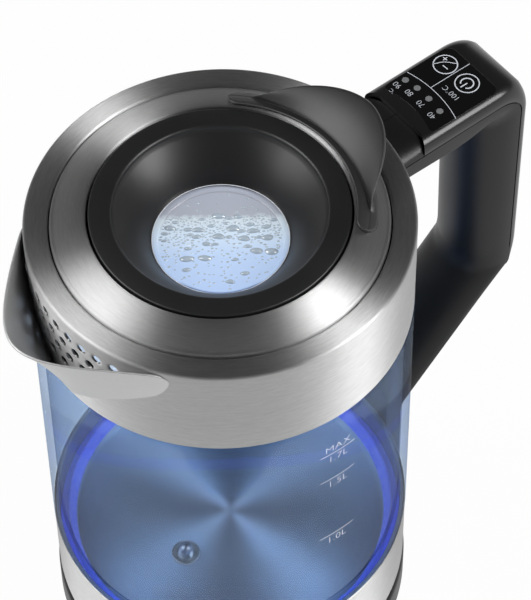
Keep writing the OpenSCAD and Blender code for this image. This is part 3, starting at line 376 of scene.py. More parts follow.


def misted_and_painted_light(material, rim):
    """Paints light and shade into the window across its disc, as shares of its rim: the painted blue glow of the lit
    water in front, mist in the middle, air behind in painted shade, a painted shade line at the back and a painted dark
    crescent at the front edge."""
    tree = material.node_tree
    place = add(tree, "TexCoord").outputs["Object"]
    back = vector(tree, "DOT_PRODUCT", place, _1=tuple(spin(CAMERA_TURN + 90)[:, 0] / rim))
    radius = vector(tree, "LENGTH", vector(tree, "MULTIPLY", place, _1=(1 / rim, 1 / rim, 0)))

    def beyond(high, low, gain):
        """How far one value is over the other, times a gain and kept between 0 and 1."""
        return maths(tree, "MULTIPLY", maths(tree, "SUBTRACT", high, low), gain, clamp=True)

    cloud = noise(tree, place, Scale=420.0, Detail=2.0)
    wavy = add(tree, "Math", operation="MULTIPLY_ADD", _0=cloud, _1=0.16, _2=back).outputs[0]
    across = add(tree, "Math", operation="MULTIPLY_ADD", _0=wavy, _1=0.5, _2=0.46).outputs[0]
    ramp = add(tree, "ValToRGB", _0=across)
    stops = ramp.color_ramp.elements
    while len(stops) < len(WINDOW_PAINTED_LIGHT_BANDS):
        stops.new(0.5)
    for stop, (at, rgb) in zip(stops, WINDOW_PAINTED_LIGHT_BANDS):
        stop.position, stop.color = at, (*rgb, 1)
    off_line = maths(tree, "ABSOLUTE", maths(tree, "SUBTRACT", radius, LINE_AT))
    line = maths(tree, "SUBTRACT", 1.0, maths(tree, "MULTIPLY", off_line, 90.0), clamp=True)
    line = maths(tree, "MULTIPLY", line, beyond(back, 0.1, 2.0))
    front = maths(tree, "MULTIPLY", beyond(radius, EDGE_AT, 40.0), beyond(-0.72, back, 8.0))
    seen = mixed(tree, front, mixed(tree, line, ramp.outputs[0], RIM_PAINTED_SHADE), FRONT_PAINTED_SHADE)
    # the painted colours are also the emission, so the window glows as painted light though it is no lamp
    feed(tree, tree.nodes["Principled BSDF"], Base_Color=seen, Emission_Color=seen)


def make_materials():
    """All finishes. A row has the colour, the size and depth of the effect, the spread of the colour, the least and the
    greatest roughness, and any other inputs of the shader."""
    steel, black, glow, mark = tone("steel"), tone("black"), tone("glow"), (0.75, 0.80, 0.86)
    effect("turned_brushing", "Fineness", 4.0, turned_lines, 0.00005)
    effect("moulded_grain", "Size", 0.4, moulded_grain, 0.0001)
    brushed = {
        "collar_steel": (steel, 2.4, 0.4, 0.3, 0.40, 0.54, 0.97),
        "lid_steel": (steel, 2.5, 0.35, 0.22, 0.42, 0.54, 0.97),
        "spout_steel": (steel, 2.4, 0.25, 0.12, 0.46, 0.56, 0.3),
        # plate_steel wears the plate colour, whose blue is painted light from the glowing ring
        "plate_steel": (tone("plate"), 1.6, 0.3, 0.2, 0.54, 0.62, 0.85),
    }
    moulded = {
        "plain_steel": (steel, 0.3, 0.1, 0.05, 0.25, 0.35, {"Metallic": 1.0}),
        # the window's emission is painted light: it glows though it is no lamp
        "window": (tone("window"), 2.0, 0.1, 0.06, 0.15, 0.3, {"Coat_Weight": 0.3, "Emission_Strength": 0.38}),
        "drops": ((0.46, 0.55, 0.64), 2.0, 0.0, 0.1, 0.05, 0.1, {"Specular_IOR_Level": 1.0, "Coat_Weight": 1.0}),
        "funnel_black": (black, 0.35, 0.3, 0.2, 0.35, 0.43, {"Anisotropic": 0.4, "Specular_IOR_Level": 0.6}),
        "satin_black": (black, 0.35, 0.35, 0.2, 0.34, 0.42),
        "soft_black": ([c * 0.9 for c in black], 0.45, 0.45, 0.2, 0.38, 0.46, {"Specular_IOR_Level": 0.3}),
        "tab_black": (black, 0.4, 0.5, 0.2, 0.42, 0.50, {"Specular_IOR_Level": 0.9}),
        "cover_black": (black, 0.3, 0.15, 0.2, 0.26, 0.32, {"Coat_Weight": 0.15}),
        "panel_black": ([c * 0.5 for c in black], 0.5, 0.04, 0.2, 0.10, 0.16),
        "inner_plastic": ((0.03, 0.03, 0.033), 0.5, 0.3, 0.2, 0.45, 0.55),
        "print": (tone("ink"), 0.3, 0.1, 0.08, 0.5, 0.6),
        # the print on the glass also glows a little: painted light, it is no lamp
        "mark": (mark, 0.3, 0.1, 0.08, 0.5, 0.6, {"Emission_Strength": 0.22, "Emission_Color": (*mark, 1)}),
        "glow": (glow, 3.0, 1.0, 0.5, 0.2, 0.4, {"Emission_Strength": 0.6, "Emission_Color": (*glow, 1)}),
        "clear_silicone": ((0.7, 0.75, 0.85), 2.0, 0.3, 0.1, 0.25, 0.4, {"Transmission_Weight": 0.7}),
        "rubber": ((0.02, 0.02, 0.02), 0.6, 0.4, 0.2, 0.6, 0.75),
        "aluminium": ((0.62, 0.63, 0.65), 0.8, 0.4, 0.1, 0.4, 0.5, {"Metallic": 1.0}),
        "brass": ((0.66, 0.48, 0.2), 0.5, 0.1, 0.08, 0.25, 0.35, {"Metallic": 1.0}),
        "board": ((0.02, 0.12, 0.05), 0.8, 0.15, 0.15, 0.3, 0.4),
        "lamp": ((0.75, 0.78, 0.85), 0.6, 0.1, 0.05, 0.3, 0.4),
        "dull_lamp": ((0.17, 0.175, 0.18), 0.6, 0.1, 0.05, 0.3, 0.4),
        "wire": ((0.35, 0.03, 0.02), 0.6, 0.2, 0.1, 0.4, 0.5),
    }
    for name, (*row, anisotropic) in brushed.items():
        finish_of(name, "turned_brushing", *row, Metallic=1.0, Anisotropic=anisotropic)
    for name, row in moulded.items():
        others = row[6] if len(row) > 6 else {}
        finish_of(name, "moulded_grain", *row[:6], **others)
    # the glass's blue and its deeper edge colour are partly its own tint and partly painted blue light from the glowing
    # ring
    clear_glass(tone("glass"), (0.48, 0.56, 0.67))
    misted_and_painted_light(finish("window"), WINDOW_R * MM)


# the finish of each slot that has no finish of its own name
SLOT_FINISH = {
    "brushed_steel": "collar_steel", "bright_steel": "plain_steel", "black_satin_plastic": "satin_black",
    "black_matte_plastic": "soft_black", "dark_plastic": "inner_plastic", "black_gloss": "panel_black",
    "black_silicone": "rubber", "light_guide": "lamp", "bimetal": "brass", "contact_brass": "brass",
    "switch": "inner_plastic", "screw_steel": "plain_steel",
}
NODE_FINISH = {"base_seal": "clear_silicone"}    # a carried-over node that looks unlike the rest of its slot


# ---- the pieces of the body ----

HOLE_PITCH = 5.8                 # degrees between the holes of a row, and millimetres between rows
HOLE_ROWS = ((8, 8.0), (7, 13.8), (6, 19.6), (5, 25.4))   # holes in a row, and its depth below the collar's top
CELL_STEPS = 8                   # chords along one side of the square cell round a hole
HOLE_BREAK = 0.12                # depth of the broken edge of a hole
COLLAR_CORNER, COLLAR_LIP, COLLAR_EDGE = 1.1, 3.2, 0.35
LID_GAP = 0.6                    # between the collar's mouth and the lid


def hole_cell(at, depth, radius_out, radius_in, hole_r, top):
    """A square of collar wall with a round hole: rings run from the square's edge to the circle on both faces, and
    through it."""
    k = np.arange(CELL_STEPS) / CELL_STEPS
    one = np.ones(CELL_STEPS)
    run = 2 * k - 1
    square = np.concatenate([np.c_[run, -one], np.c_[one, run], np.c_[-run, one], np.c_[-one, -run]]) * HOLE_PITCH / 2
    a = np.arctan2(square[:, 1], square[:, 0])
    width = radius_out * math.radians(1)            # one degree of the wall, in millimetres
    circle = np.c_[np.cos(a) / width, np.sin(a)]
    rings = [square, 0.45 * square + 0.55 * hole_r * 1.35 * circle, hole_r * 1.12 * circle, hole_r * circle]
    path = [(q, radius_out) for q in rings[:3]] + [(rings[3], radius_out - HOLE_BREAK)]
    path += [(rings[3], radius_in + HOLE_BREAK)] + [(q, radius_in) for q in rings[2::-1]]
    wall = [round_axis(radius, np.radians(180 + at + q[:, 0]), top - depth + q[:, 1]) for q, radius in path]
    return patch(np.array(wall), close_n=True)


def blank_cells(at0, at1, z0, z1, *radii):
    """Plain wall between two angles: the same grid of points as the holed squares beside it, on both faces."""
    n = max(1, round((at1 - at0) / HOLE_PITCH * CELL_STEPS))
    b = np.radians(180 + np.linspace(at0, at1, n + 1))
    return [patch(round_axis(r, b, np.linspace(z0, z1, CELL_STEPS + 1)[:, None])) for r in radii]


class KETTLE_OT_collar(bpy.types.Operator):
    """Steel collar: one rounded sheet turned round the axis, with rows of punched holes behind the spout"""
    bl_idname = "kettle.collar"
    bl_label = "Collar"

    def execute(self, context):
        r, top, foot, corner = mm("collar_radius"), mm("collar_top"), mm("collar_foot"), COLLAR_CORNER
        mouth, inner, hole_r = mm("lid_radius") + LID_GAP, r - SHEET, mm("hole_diameter") / 2
        z1 = top - HOLE_ROWS[0][1] + HOLE_PITCH / 2
        z0 = top - HOLE_ROWS[-1][1] - HOLE_PITCH / 2
        half = HOLE_ROWS[0][0] * HOLE_PITCH / 2
        near = np.arange(-half, half + 0.01, HOLE_PITCH / CELL_STEPS)
        far = np.linspace(half, 360 - half, 401)[1:-1]
        angles = np.radians(180 + np.concatenate([near, far, [360 - half]]))
        upper = rounded([[r, z1], [r, top], [mouth, top], [mouth, top - COLLAR_LIP], [mouth + SHEET, top - COLLAR_LIP],
                         [mouth + SHEET, top - SHEET], [inner, top - SHEET], [inner, z1]],
                        [corner, corner, COLLAR_EDGE, COLLAR_EDGE, corner - SHEET, corner - SHEET], 8)
        lower = rounded([[inner, z0], [inner, foot], [r, foot], [r, z0]], [0.3, 0.3], 4)
        patches = [turned(line, angles, closed=False) for line in (upper, lower)]
        for count, depth in HOLE_ROWS:
            centres = (np.arange(count) - (count - 1) / 2) * HOLE_PITCH
            patches += [hole_cell(a, depth, r, inner, hole_r, top) for a in centres]
            edge = count * HOLE_PITCH / 2
            low, high = top - depth - HOLE_PITCH / 2, top - depth + HOLE_PITCH / 2
            if edge < half - 0.01:
                for at in ((-half, -edge), (edge, half)):
                    patches += blank_cells(*at, low, high, r, inner)
        z = np.linspace(z0, z1, len(HOLE_ROWS) * CELL_STEPS + 1)
        around = np.radians(180 + np.concatenate([[half], far, [360 - half]]))
        patches += [turned(np.c_[np.full(len(z), q), z], around, closed=False) for q in (r, inner)]
        piece("collar", patches, "collar_steel", ["top_collar"])
        return {"FINISHED"}


# The beak: its rim is a hyperbola seen from above and its weld line a V on the collar.
BEAK_ANGLE, BEAK_REACH, BEAK_BLUNT = 37.7, 88.6, 23.0
# depths below the collar's top: rim, slow fall of the rim, its last fall round the end
BEAK_RIM_DROP, BEAK_RIM_FALL, BEAK_RIM_END = 0.6, 0.9, 3.3
BEAK_WELD, BEAK_WELD_FALL, BEAK_FOOT, BEAK_END = 43.5, 32.85, 41.4, 3.9   # start, fall, foot and end of the weld line
BEAK_TURN = 0.88                 # where the weld line starts to turn up into the rim
BEAK_BULGE = 6.0                 # four times the bulge of its middle line


def beak_points(u, v, r, top):
    """Straight lines from the weld line to the rim, bulged inwards by a parabola; u runs across the beak, v up it."""
    a = np.radians(BEAK_ANGLE)
    half_w = r * np.sin(a)
    run = BEAK_REACH - r * np.cos(a)
    slope = math.sqrt((run + BEAK_BLUNT) ** 2 - BEAK_BLUNT ** 2) / half_w
    s, side = half_w * u, np.abs(u)
    q = np.clip((side - BEAK_TURN) / (1 - BEAK_TURN), 0, 1)
    curl = np.sqrt(1 - q * q)
    end = BEAK_RIM_DROP + BEAK_RIM_FALL + BEAK_RIM_END
    rim_depth = BEAK_RIM_DROP + BEAK_RIM_FALL * ease((side - 0.65) / 0.35) + BEAK_RIM_END * (1 - curl)
    rim = np.stack([np.sqrt(BEAK_BLUNT ** 2 + (slope * s) ** 2) - BEAK_BLUNT - BEAK_REACH, s, top - rim_depth], -1)
    b = np.radians(BEAK_ANGLE * u)
    turn_depth = BEAK_WELD - BEAK_WELD_FALL * BEAK_TURN
    depth = np.where(side > BEAK_TURN, end + (turn_depth - end - BEAK_END * q) * curl,
                     np.minimum(BEAK_FOOT, BEAK_WELD - BEAK_WELD_FALL * side))
    weld = np.stack([-r * np.cos(b), r * np.sin(b), top - depth], -1)
    v = v[..., None]
    bulge = BEAK_BULGE * v * (1 - v) * (1 - u[..., None] ** 2) ** 2
    return weld * (1 - v) + rim * v + bulge * np.array([1.0, 0, 0])


class KETTLE_OT_spout(bpy.types.Operator):
    """Spout: a folded steel beak, a sheet between a V on the collar and its free rim"""
    bl_idname = "kettle.spout"
    bl_label = "Spout"

    def execute(self, context):
        wall, top, e = mm("collar_radius") + FIT, mm("collar_top"), 0.004
        u, v = np.meshgrid(0.9995 * np.sin(np.linspace(-1, 1, 161) * math.pi / 2), np.linspace(0, 1, 33), indexing="ij")

        def at(u, v):
            return beak_points(np.clip(u, -1, 1), np.clip(v, 0, 1), wall, top)

        outer, ui = at(u, v), u * 0.965
        normal = unit(np.cross(at(ui + e, v) - at(ui - e, v), at(ui, v + e) - at(ui, v - e)))
        inner = at(ui, v) + SHEET * normal * np.sign(normal[80, 16, 0])
        flat = np.hypot(inner[..., 0], inner[..., 1])
        stretch = np.where(v == 0, wall / flat, np.maximum(1, wall / flat))
        inner[..., :2] *= stretch[..., None]
        s = np.linspace(0, 1, 7)[1:-1]
        edge = outer[:, -1:, :] * (1 - s)[None, :, None] + inner[:, -1:, :] * s[None, :, None]
        edge[..., 2] += SHEET * 0.3 * np.sqrt(1 - (2 * s - 1) ** 2)
        sheet = capped(np.concatenate([outer, edge, inner[:, ::-1]], 1))
        piece("spout_beak", sheet, "spout_steel", ["spout"])
        return {"FINISHED"}


class KETTLE_OT_glass(bpy.types.Operator):
    """Glass wall: one turned profile with a rounded shoulder and a narrow neck at each end"""
    bl_idname = "kettle.glass"
    bl_label = "Glass"

    def execute(self, context):
        r, low, high = mm("glass_radius"), mm("ring_top"), mm("collar_foot")
        neck_out, neck_in, inside, neck = mm("collar_radius") - 2.0, mm("collar_radius") - 5.0, r - 3, 12
        wall = drum([[neck_in, low - neck], [neck_out, low - neck], [neck_out, low + 0.3], [r, low + 0.3],
                     [r, high - 0.3], [neck_out, high - 0.3], [neck_out, high + neck], [neck_in, high + neck],
                     [neck_in, high - 1], [inside, high - 5], [inside, low + 5], [neck_in, low + 1]],
                    [1, 1, 0, 1.6, 1.6, 0, 1, 1, 3, 3, 3, 3])
        piece("glass_wall", [wall], "glass", ["glass_body"])
        return {"FINISHED"}


class KETTLE_OT_base(bpy.types.Operator):
    """Bottom of the kettle: steel ring, dished heating plate, its probe and the lit silicone round it"""
    bl_idname = "kettle.base"
    bl_label = "Base of the kettle"

    def execute(self, context):
        r, high, plate = mm("collar_radius"), mm("ring_top"), mm("plate_level")
        low, foot = foot_of("base_ring"), foot_of("base_ring") + SHEET
        ring = drum([[r, low], [r, high], [r - SHEET, high], [r - SHEET, foot], [r - 3.4, foot], [r - 3.4, low]],
                    [1.2, 0.3, 0.3, 0.4, 0.3, 0.3], 5)
        piece("ring_of_base", [ring], "collar_steel", ["base_ring"])
        dish, flange, out = r - 8.2, high - 12.7, r - 2
        back, under, below = dish + SHEET, flange - SHEET, plate - SHEET
        dished = drum([[0, plate], [dish, plate], [dish, flange], [out, flange], [out, under], [back, under],
                       [back, below], [0, below]], [1.4, 1.2, 0.2, 0.2, 0.4, 0.8], 5, closed=False)
        piece("plate", [dished], "plate_steel", ["heating_plate"])
        lo, hi = (np.array(c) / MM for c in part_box("temperature_probe"))
        x, y = (lo + hi)[:2] / 2
        stem, faces = drum([[0, 6], [2.9, 6], [2.9, 1.1], [5.6, 1.1], [5.6, 0.05], [2.95, 0.05], [2.95, -8], [0, -8]],
                           [2.7, 0.6, 0.5, 0.1, 0.1, 0.2], closed=False)
        piece("probe", [(stem + [x, y, plate], faces)], "plain_steel", ["temperature_probe"])
        self.lit_seal(dish, out, r - 5, flange, high - 12)
        return {"FINISHED"}

    def lit_seal(self, dish, out, neck, flange, low):
        """The seal's profile (inner radius, top) is waved round the axis by two sines, as clear silicone wrinkles."""
        a = np.linspace(0, TURN, 721)[:-1]
        wave = 0.5 + 0.2 * np.sin(96 * a + 2 * np.sin(5 * a)) + 0.3 * np.sin(23 * a + 1.5 * np.sin(7 * a))
        seat, bottom, side = flange + 0.06, low - FIT, neck - FIT
        profile = rounded([[dish, seat], [out, seat], [out, bottom], [side, bottom], [side, low + 3.6],
                           [neck - 0.8, low + 4.2], [dish + 0.8, low + 2.6], [dish, low + 1.6]],
                          [0.1, 0.1, 0.1, 0, 0.4, 0.5, 0.5, 0.4], 4, closed=True)
        free = ease((profile[:, 1:] - low) / 1.5)
        radius = profile[:, :1] + free * 1.1 * wave * (profile[:, :1] < neck - 1)
        points = round_axis(radius, a, profile[:, 1:] - free * 0.9 * (1 - wave))
        piece("lit_seal", [patch(points, True, True)], "glow", ["plate_seal"], sharp=60)


# ---- the lid ----

LID_RING_IN, LID_ROUND, LID_RISE, LID_EDGE, LID_SKIRT = 46.8, 1.2, 4.0, 0.4, 2.4
FUNNEL_MOUTH, FUNNEL_FOOT, FUNNEL_LIP, FUNNEL_ROUND, FUNNEL_BOW = 37.6, 25.0, 26.8, 1.2, 1.2
WINDOW_DROP, WINDOW_STEP = 12.5, 0.35    # depth below the collar's top, and height of the step round the window
# drops on the window: share of their number, and the least and greatest half width
DROP_SIZES = ((0.022, 1.7, 2.1), (0.06, 0.95, 1.4), (0.918, 0.28, 0.6))


def dome(r, top, lid_r):
    """Height of the lid ring's face: it falls from its inner edge with the power 1.5 of the way out."""
    k = np.clip((r - LID_RING_IN) / (lid_r - LID_RING_IN - LID_ROUND), 0, 1)
    return top + LID_EDGE + LID_RISE * (1 - k ** 1.5)


def wanted_share(right, back):
    """How likely a drop is kept at a place on the window: many behind the middle, few at the back and the front."""
    if back > 0.46:
        return 0.03
    if back > 0.02:
        return 1.0
    if back > -0.35:
        return 0.22 if right < -0.1 else 0.04 if right < 0.15 else 0.15
    return 0.05


class KETTLE_OT_lid(bpy.types.Operator):
    """Lid: domed steel ring, black funnel, and the misted window with its rim and its drops"""
    bl_idname = "kettle.lid"
    bl_label = "Lid"

    def execute(self, context):
        r, top = mm("lid_radius"), mm("collar_top")
        edge = top + LID_EDGE
        crest, level = edge + LID_RISE, top + LID_RISE + 0.6
        across = np.linspace(LID_RING_IN + 0.6, r - LID_ROUND, 24)
        bend = np.radians(np.linspace(75, 0, 7))
        profile = np.vstack([
            [[LID_RING_IN, crest - 0.6], [LID_RING_IN + 0.18, crest - 0.17]], np.c_[across, dome(across, top, r)],
            np.c_[r - LID_ROUND * (1 - np.cos(bend)), edge - LID_ROUND * (1 - np.sin(bend))],
            [[r, top - LID_SKIRT], [r - SHEET, top - LID_SKIRT], [r - SHEET, edge - LID_ROUND]],
            np.c_[across[::-1] - 0.3, dome(across[::-1], top, r) - SHEET],
            [[LID_RING_IN + SHEET, crest - 3], [LID_RING_IN, crest - 3]]])
        piece("steel_ring_of_lid", [turned(profile)], "lid_steel", ["lid_ring"], "lid")

        window, out, mouth = top - WINDOW_DROP, LID_RING_IN - 0.8, FUNNEL_MOUTH
        s = np.linspace(0, 1, 26)[1:]
        wall = np.c_[mouth - (mouth - FUNNEL_FOOT) * s - FUNNEL_BOW * np.sin(np.pi * s),
                     level - 1.6 - (level - 1.6 - window - 1.2) * s]
        bend = np.radians(np.linspace(90, 180, 7))
        profile = np.vstack([
            rounded([[out, level - 4], [out, level], [mouth + FUNNEL_ROUND, level]], [0.6], 5),
            [mouth, level] + FUNNEL_ROUND * np.c_[1 + np.cos(bend), np.sin(bend) - 1], wall,
            [[WINDOW_R, window + 0.6], [WINDOW_R, window], [FUNNEL_LIP, window], [FUNNEL_LIP, window + 1.4]],
            [[mouth + 1, level - 2.6], [out - 2, level - 2], [out - 2, level - 4]]])
        piece("funnel", [turned(profile)], "funnel_black", ["lid_funnel"], "lid", sharp=25)
        low = window - 0.85
        step = low + WINDOW_STEP
        disc = drum([[0, low], [WINDOW_R - 2.2, low], [WINDOW_R - 1.9, step], [FUNNEL_LIP, step],
                     [FUNNEL_LIP, low - 2], [0, low - 2]], [0.2, 0.2, 0.1, 0.2], 3, closed=False)
        piece("window", [disc], "window", ["lid_window", "window_seal"], "lid")
        self.drops(WINDOW_R, low + 0.02)
        rim = ring_line(WINDOW_R - 0.1, window + 0.62, 0.16, n=10)[:-1]
        piece("window_rim", [turned(rim)], "lamp", (), "lid", sharp=80)
        return {"FINISHED"}

    def drops(self, edge_r, level):
        """Each drop is a flattened dome whose outline is a circle waved by a sine; none covers another's middle."""
        rng = np.random.default_rng(5)
        patches, placed = [], np.zeros((0, 3))
        ways = spin(CAMERA_TURN)[:2, :2].T
        count = bpy.context.scene.kettle_sizes.drop_count
        sizes = np.concatenate([rng.uniform(lo, hi, round(count * share)) for share, lo, hi in DROP_SIZES])
        for size in sizes:
            for _ in range(20):
                spot = rng.uniform(-1, 1, 2)
                share = wanted_share(*spot)
                spot = spot * edge_r
                gap = np.hypot(*(placed[:, :2] - spot).T) - placed[:, 2] if len(placed) else np.array([9.0])
                if rng.random() < share and np.hypot(*spot) < edge_r - 2.4 - size and gap.min() > size * 0.95:
                    break
            else:
                continue
            placed = np.vstack([placed, [*spot, size]])
            n = 16 if size > 0.8 else 10
            a, k = np.linspace(0, TURN, n + 1)[:-1], np.linspace(1, 0, n // 3)[:, None]
            way = TURN * rng.random(2)
            edge = size * (1 + 0.08 * np.sin(2 * a + way[0]) + 0.06 * np.sin(3 * a + way[1]))
            flat = np.stack([1.25 * edge * np.cos(a) * k, edge * (0.62 + 0.2 * (np.sin(a) > 0)) * np.sin(a) * k], -1)
            lift = np.sqrt(1 - k ** 2) * min(0.8, 0.5 * size)
            points = np.concatenate([(flat + spot) @ ways, (level + lift + 0 * a)[..., None]], -1)
            patches.append(patch(points, close_n=True))
        piece("window_drops", patches, "drops", (), "lid", sharp=80)


# half angles of the band and its wing; the band's inner radius, width and thickness
TAB_HALF, TAB_WING_HALF, TAB_BAND_IN, TAB_WIDE, TAB_THICK = 49.0, 39.5, LID_RING_IN + 0.9, 7.4, 1.3
TAB_CREASE, TAB_WING_H, TAB_LEAN, TAB_GROOVE = 3.1, 7.3, 16.5, 0.4   # place, rise and lean of the wing; its groove
# the wing's face: shares of its lean and of its rise
TAB_FACE = ((0.015, 0.03), (0.13, 0.19), (0.3, 0.43), (0.5, 0.66), (0.7, 0.84), (0.9, 0.96), (0.97, 0.99))


class KETTLE_OT_tab(bpy.types.Operator):
    """Pull tab: a flat band with round ends and a crease, from which a wing leans outwards and tapers away"""
    bl_idname = "kettle.tab"
    bl_label = "Pull tab"

    def execute(self, context):
        top, lid_r = mm("collar_top"), mm("lid_radius")
        k = np.linspace(-1, 1, 81)
        a = TAB_HALF * np.sign(k) * (1 - (1 - np.abs(k)) ** 1.5)
        half = TAB_WIDE / 2
        mid = TAB_BAND_IN + half
        end = (TAB_HALF - np.abs(a)) * math.pi / 180 * mid / half
        w = half * np.sqrt(1 - (1 - np.clip(end, 0.03, 1)) ** 2)
        share = np.abs(a) / TAB_WING_HALF
        g = np.maximum(0, 1 - share ** 2.2) ** 0.9
        rise, lean, wt = g * TAB_WING_H, np.maximum(0, 1 - share ** 1.7) ** 1.6 * TAB_LEAN, 0.5 + 1.3 * g
        groove = TAB_GROOVE * np.minimum(1, 4 * g)
        c, o = np.minimum(TAB_BAND_IN + TAB_CREASE + 1.6 * (1 - g), mid + w * 0.5), mid + w * 0.6

        def on(x, up=TAB_THICK):
            """A point over the lid's dome at radius x, raised by `up`."""
            return x, dome(x, top, lid_r) + 0.12 + up

        foot, heel, tip = on(c)[1], on(o)[1], c + lean
        crest = foot + rise
        loop = [on(mid - w, 0.1), on(mid - w, TAB_THICK - 0.35), on(mid - w * 0.9), on(mid - w * 0.6), on(c - 0.6),
                (c - 0.35, foot - groove), (c - 0.05, foot - groove),
                *((c + lean * out, foot + rise * up) for out, up in TAB_FACE),
                (tip + 0.1 * g, crest - 0.12 * g), (tip + wt * 0.5 * g, crest - wt * 0.5 * g),
                (tip + wt * 0.4 * g, crest - wt * 0.95 * g), (c + lean * 0.96, crest - wt * g),
                (np.maximum(o, c + lean * 0.66), heel + rise * 0.62 - wt * 0.5 * g),
                (np.maximum(o, c + lean * 0.4), heel + rise * 0.25), (o, heel), on(mid + w * 0.9),
                on(mid + w, TAB_THICK - 0.35), on(mid + w, 0.1), on(mid + w * 0.5, 0), on(mid, 0), on(mid - w * 0.5, 0)]
        r, z = (np.stack([q[n] + 0 * a for q in loop], 1) for n in (0, 1))
        points = round_axis(r, np.radians(a)[:, None], z)
        caps = [np.broadcast_to(points[e].mean(0), points[:1].shape) for e in (0, -1)]
        closed = np.concatenate([caps[0], points, caps[1]])
        piece("pull_tab", [patch(closed, close_n=True)], "tab_black", ["lid_tab"], "lid",
              sharp=35, levels=1)
        return {"FINISHED"}


# ---- the handle ----

HIDDEN_X, GRIP_DEPTH, GRIP_TAPER, BRIDGE_H, TOP_DROP, GRIP_DROP = 60.0, 20.0, 2.5, 14.75, 4.75, 106.0
COVER_TOP, COVER_SPINE, SKIN, FRONT_ARC = 5.65, 4.0, 2.0, 35.0
GROOVE = 0.5                     # depth of the groove along the parting line
CORNER = 15.0                    # rounding of the handle's top back corner
LIP_WIDE = 1.6                   # how far the leg's last edge is rounded
NOSE, WALL = 3.5, 2.4            # rounding of the bridge's lower edges, and wall of the trough
COVER_START = 6                  # the cover's first station
BRIDGE_DROP = 2.3                # how much lower the bridge's lid is than the cover
BLEND, LIP_BLEND = 22.0, 26.0    # stations over which the bridge turns into the grip, and the lip grows
PANEL_BACK, PANEL_LONG, PANEL_WIDE, PANEL_BOW, FRONT_GAP = 13.0, 32.5, 28.0, 2.8, 3.7
ARCS, RUNS = [24, 14, 4], [27, 18, 18, 6]        # steps round each corner and on each straight of the side lines
# the cover's cross-section: distance in from its side and height over the parting line, outside and inside
ARCH = np.array([[0, 0.15], [0, 0.8], [0.05, 1.6], [0.2, 2.4], [0.5, 3.2], [0.95, 3.95], [1.6, 4.6], [2.3, 5.05],
                 [3.1, 5.38], [4.2, 5.58], [5.6, 5.65]])
ARCH_INSIDE = np.array([[0, 0.1], [0.05, 1.2], [0.4, 2.4], [1.2, 3.15], [2.4, 3.55], [3.6, 3.65]]) + [SKIN, 0]


def along(points, radii):
    """Stations along a rounded line: ARCS steps round each corner and RUNS steps on each straight."""
    line = rounded(points, radii, ARCS)
    cuts = np.cumsum([1] + [n + 1 for n in ARCS])
    bends = [line[a:b] for a, b in zip(cuts, cuts[1:])]
    parts, start = [], line[0]
    for bend, run in zip(bends + [line[-1:]], RUNS):
        parts.append(start + (bend[0] - start) * np.linspace(0, 1, run + 1)[:-1, None])
        parts.append(bend[:-1])
        start = bend[-1]
    return np.vstack(parts + [line[-1:]])


def handle_lines():
    """The handle's outer and inner side lines, station by station in pairs, and the parting line between them."""
    reach, top, foot = mm("handle_reach"), mm("collar_top"), foot_of("handle_shell")
    z, grip = top - TOP_DROP, reach - GRIP_DEPTH
    elbow, foot_x = top - GRIP_DROP, mm("collar_radius") + 5.5
    leg, low, under = elbow - (reach - foot_x), elbow - 2.5, z - BRIDGE_H
    outer = along([[HIDDEN_X, z], [reach, z], [reach, elbow], [foot_x, leg], [foot_x, foot]], [CORNER, 24, 8])
    inner = along([[HIDDEN_X, under], [grip - GRIP_TAPER, under], [grip, low], [HIDDEN_X, low - grip + HIDDEN_X],
                   [HIDDEN_X, foot]], [9, 12, 6])
    c0, c1 = RUNS[0], RUNS[0] + ARCS[0]
    k = np.clip((np.arange(len(outer)) - c0) / (c1 - c0), 0, 1)
    depth = COVER_TOP + (COVER_SPINE - COVER_TOP) * ease(k)
    t = np.radians(90 * (1 - k))
    part = outer - depth[:, None] * np.c_[np.cos(t), np.sin(t)]
    part[c1:] = np.c_[np.minimum(reach - COVER_SPINE, outer[c1:, 0]), outer[c1:, 1]]
    return outer, inner, part, c0, c1


def front_of_cover():
    """Distance from the kettle's axis to the middle of the cover's curved front edge."""
    return mm("handle_reach") - PANEL_BACK - PANEL_LONG + PANEL_BOW - FRONT_GAP


def set_out(origin, way, side, depth):
    """Points of a cross-section: `side` across the handle and `depth` along `way` from the station's origin."""
    return np.stack([origin[:, :1] + way[:, :1] * depth, side + 0 * depth, origin[:, 1:] + way[:, 1:] * depth], -1)


def clear_of(points, radius, centre=0.0):
    """Points short of a round wall of this radius move out along X to its surface."""
    x = centre + np.sqrt(np.maximum(radius ** 2 - points[..., 1] ** 2, 0))
    points[..., 0] = np.maximum(points[..., 0], x)
    return points


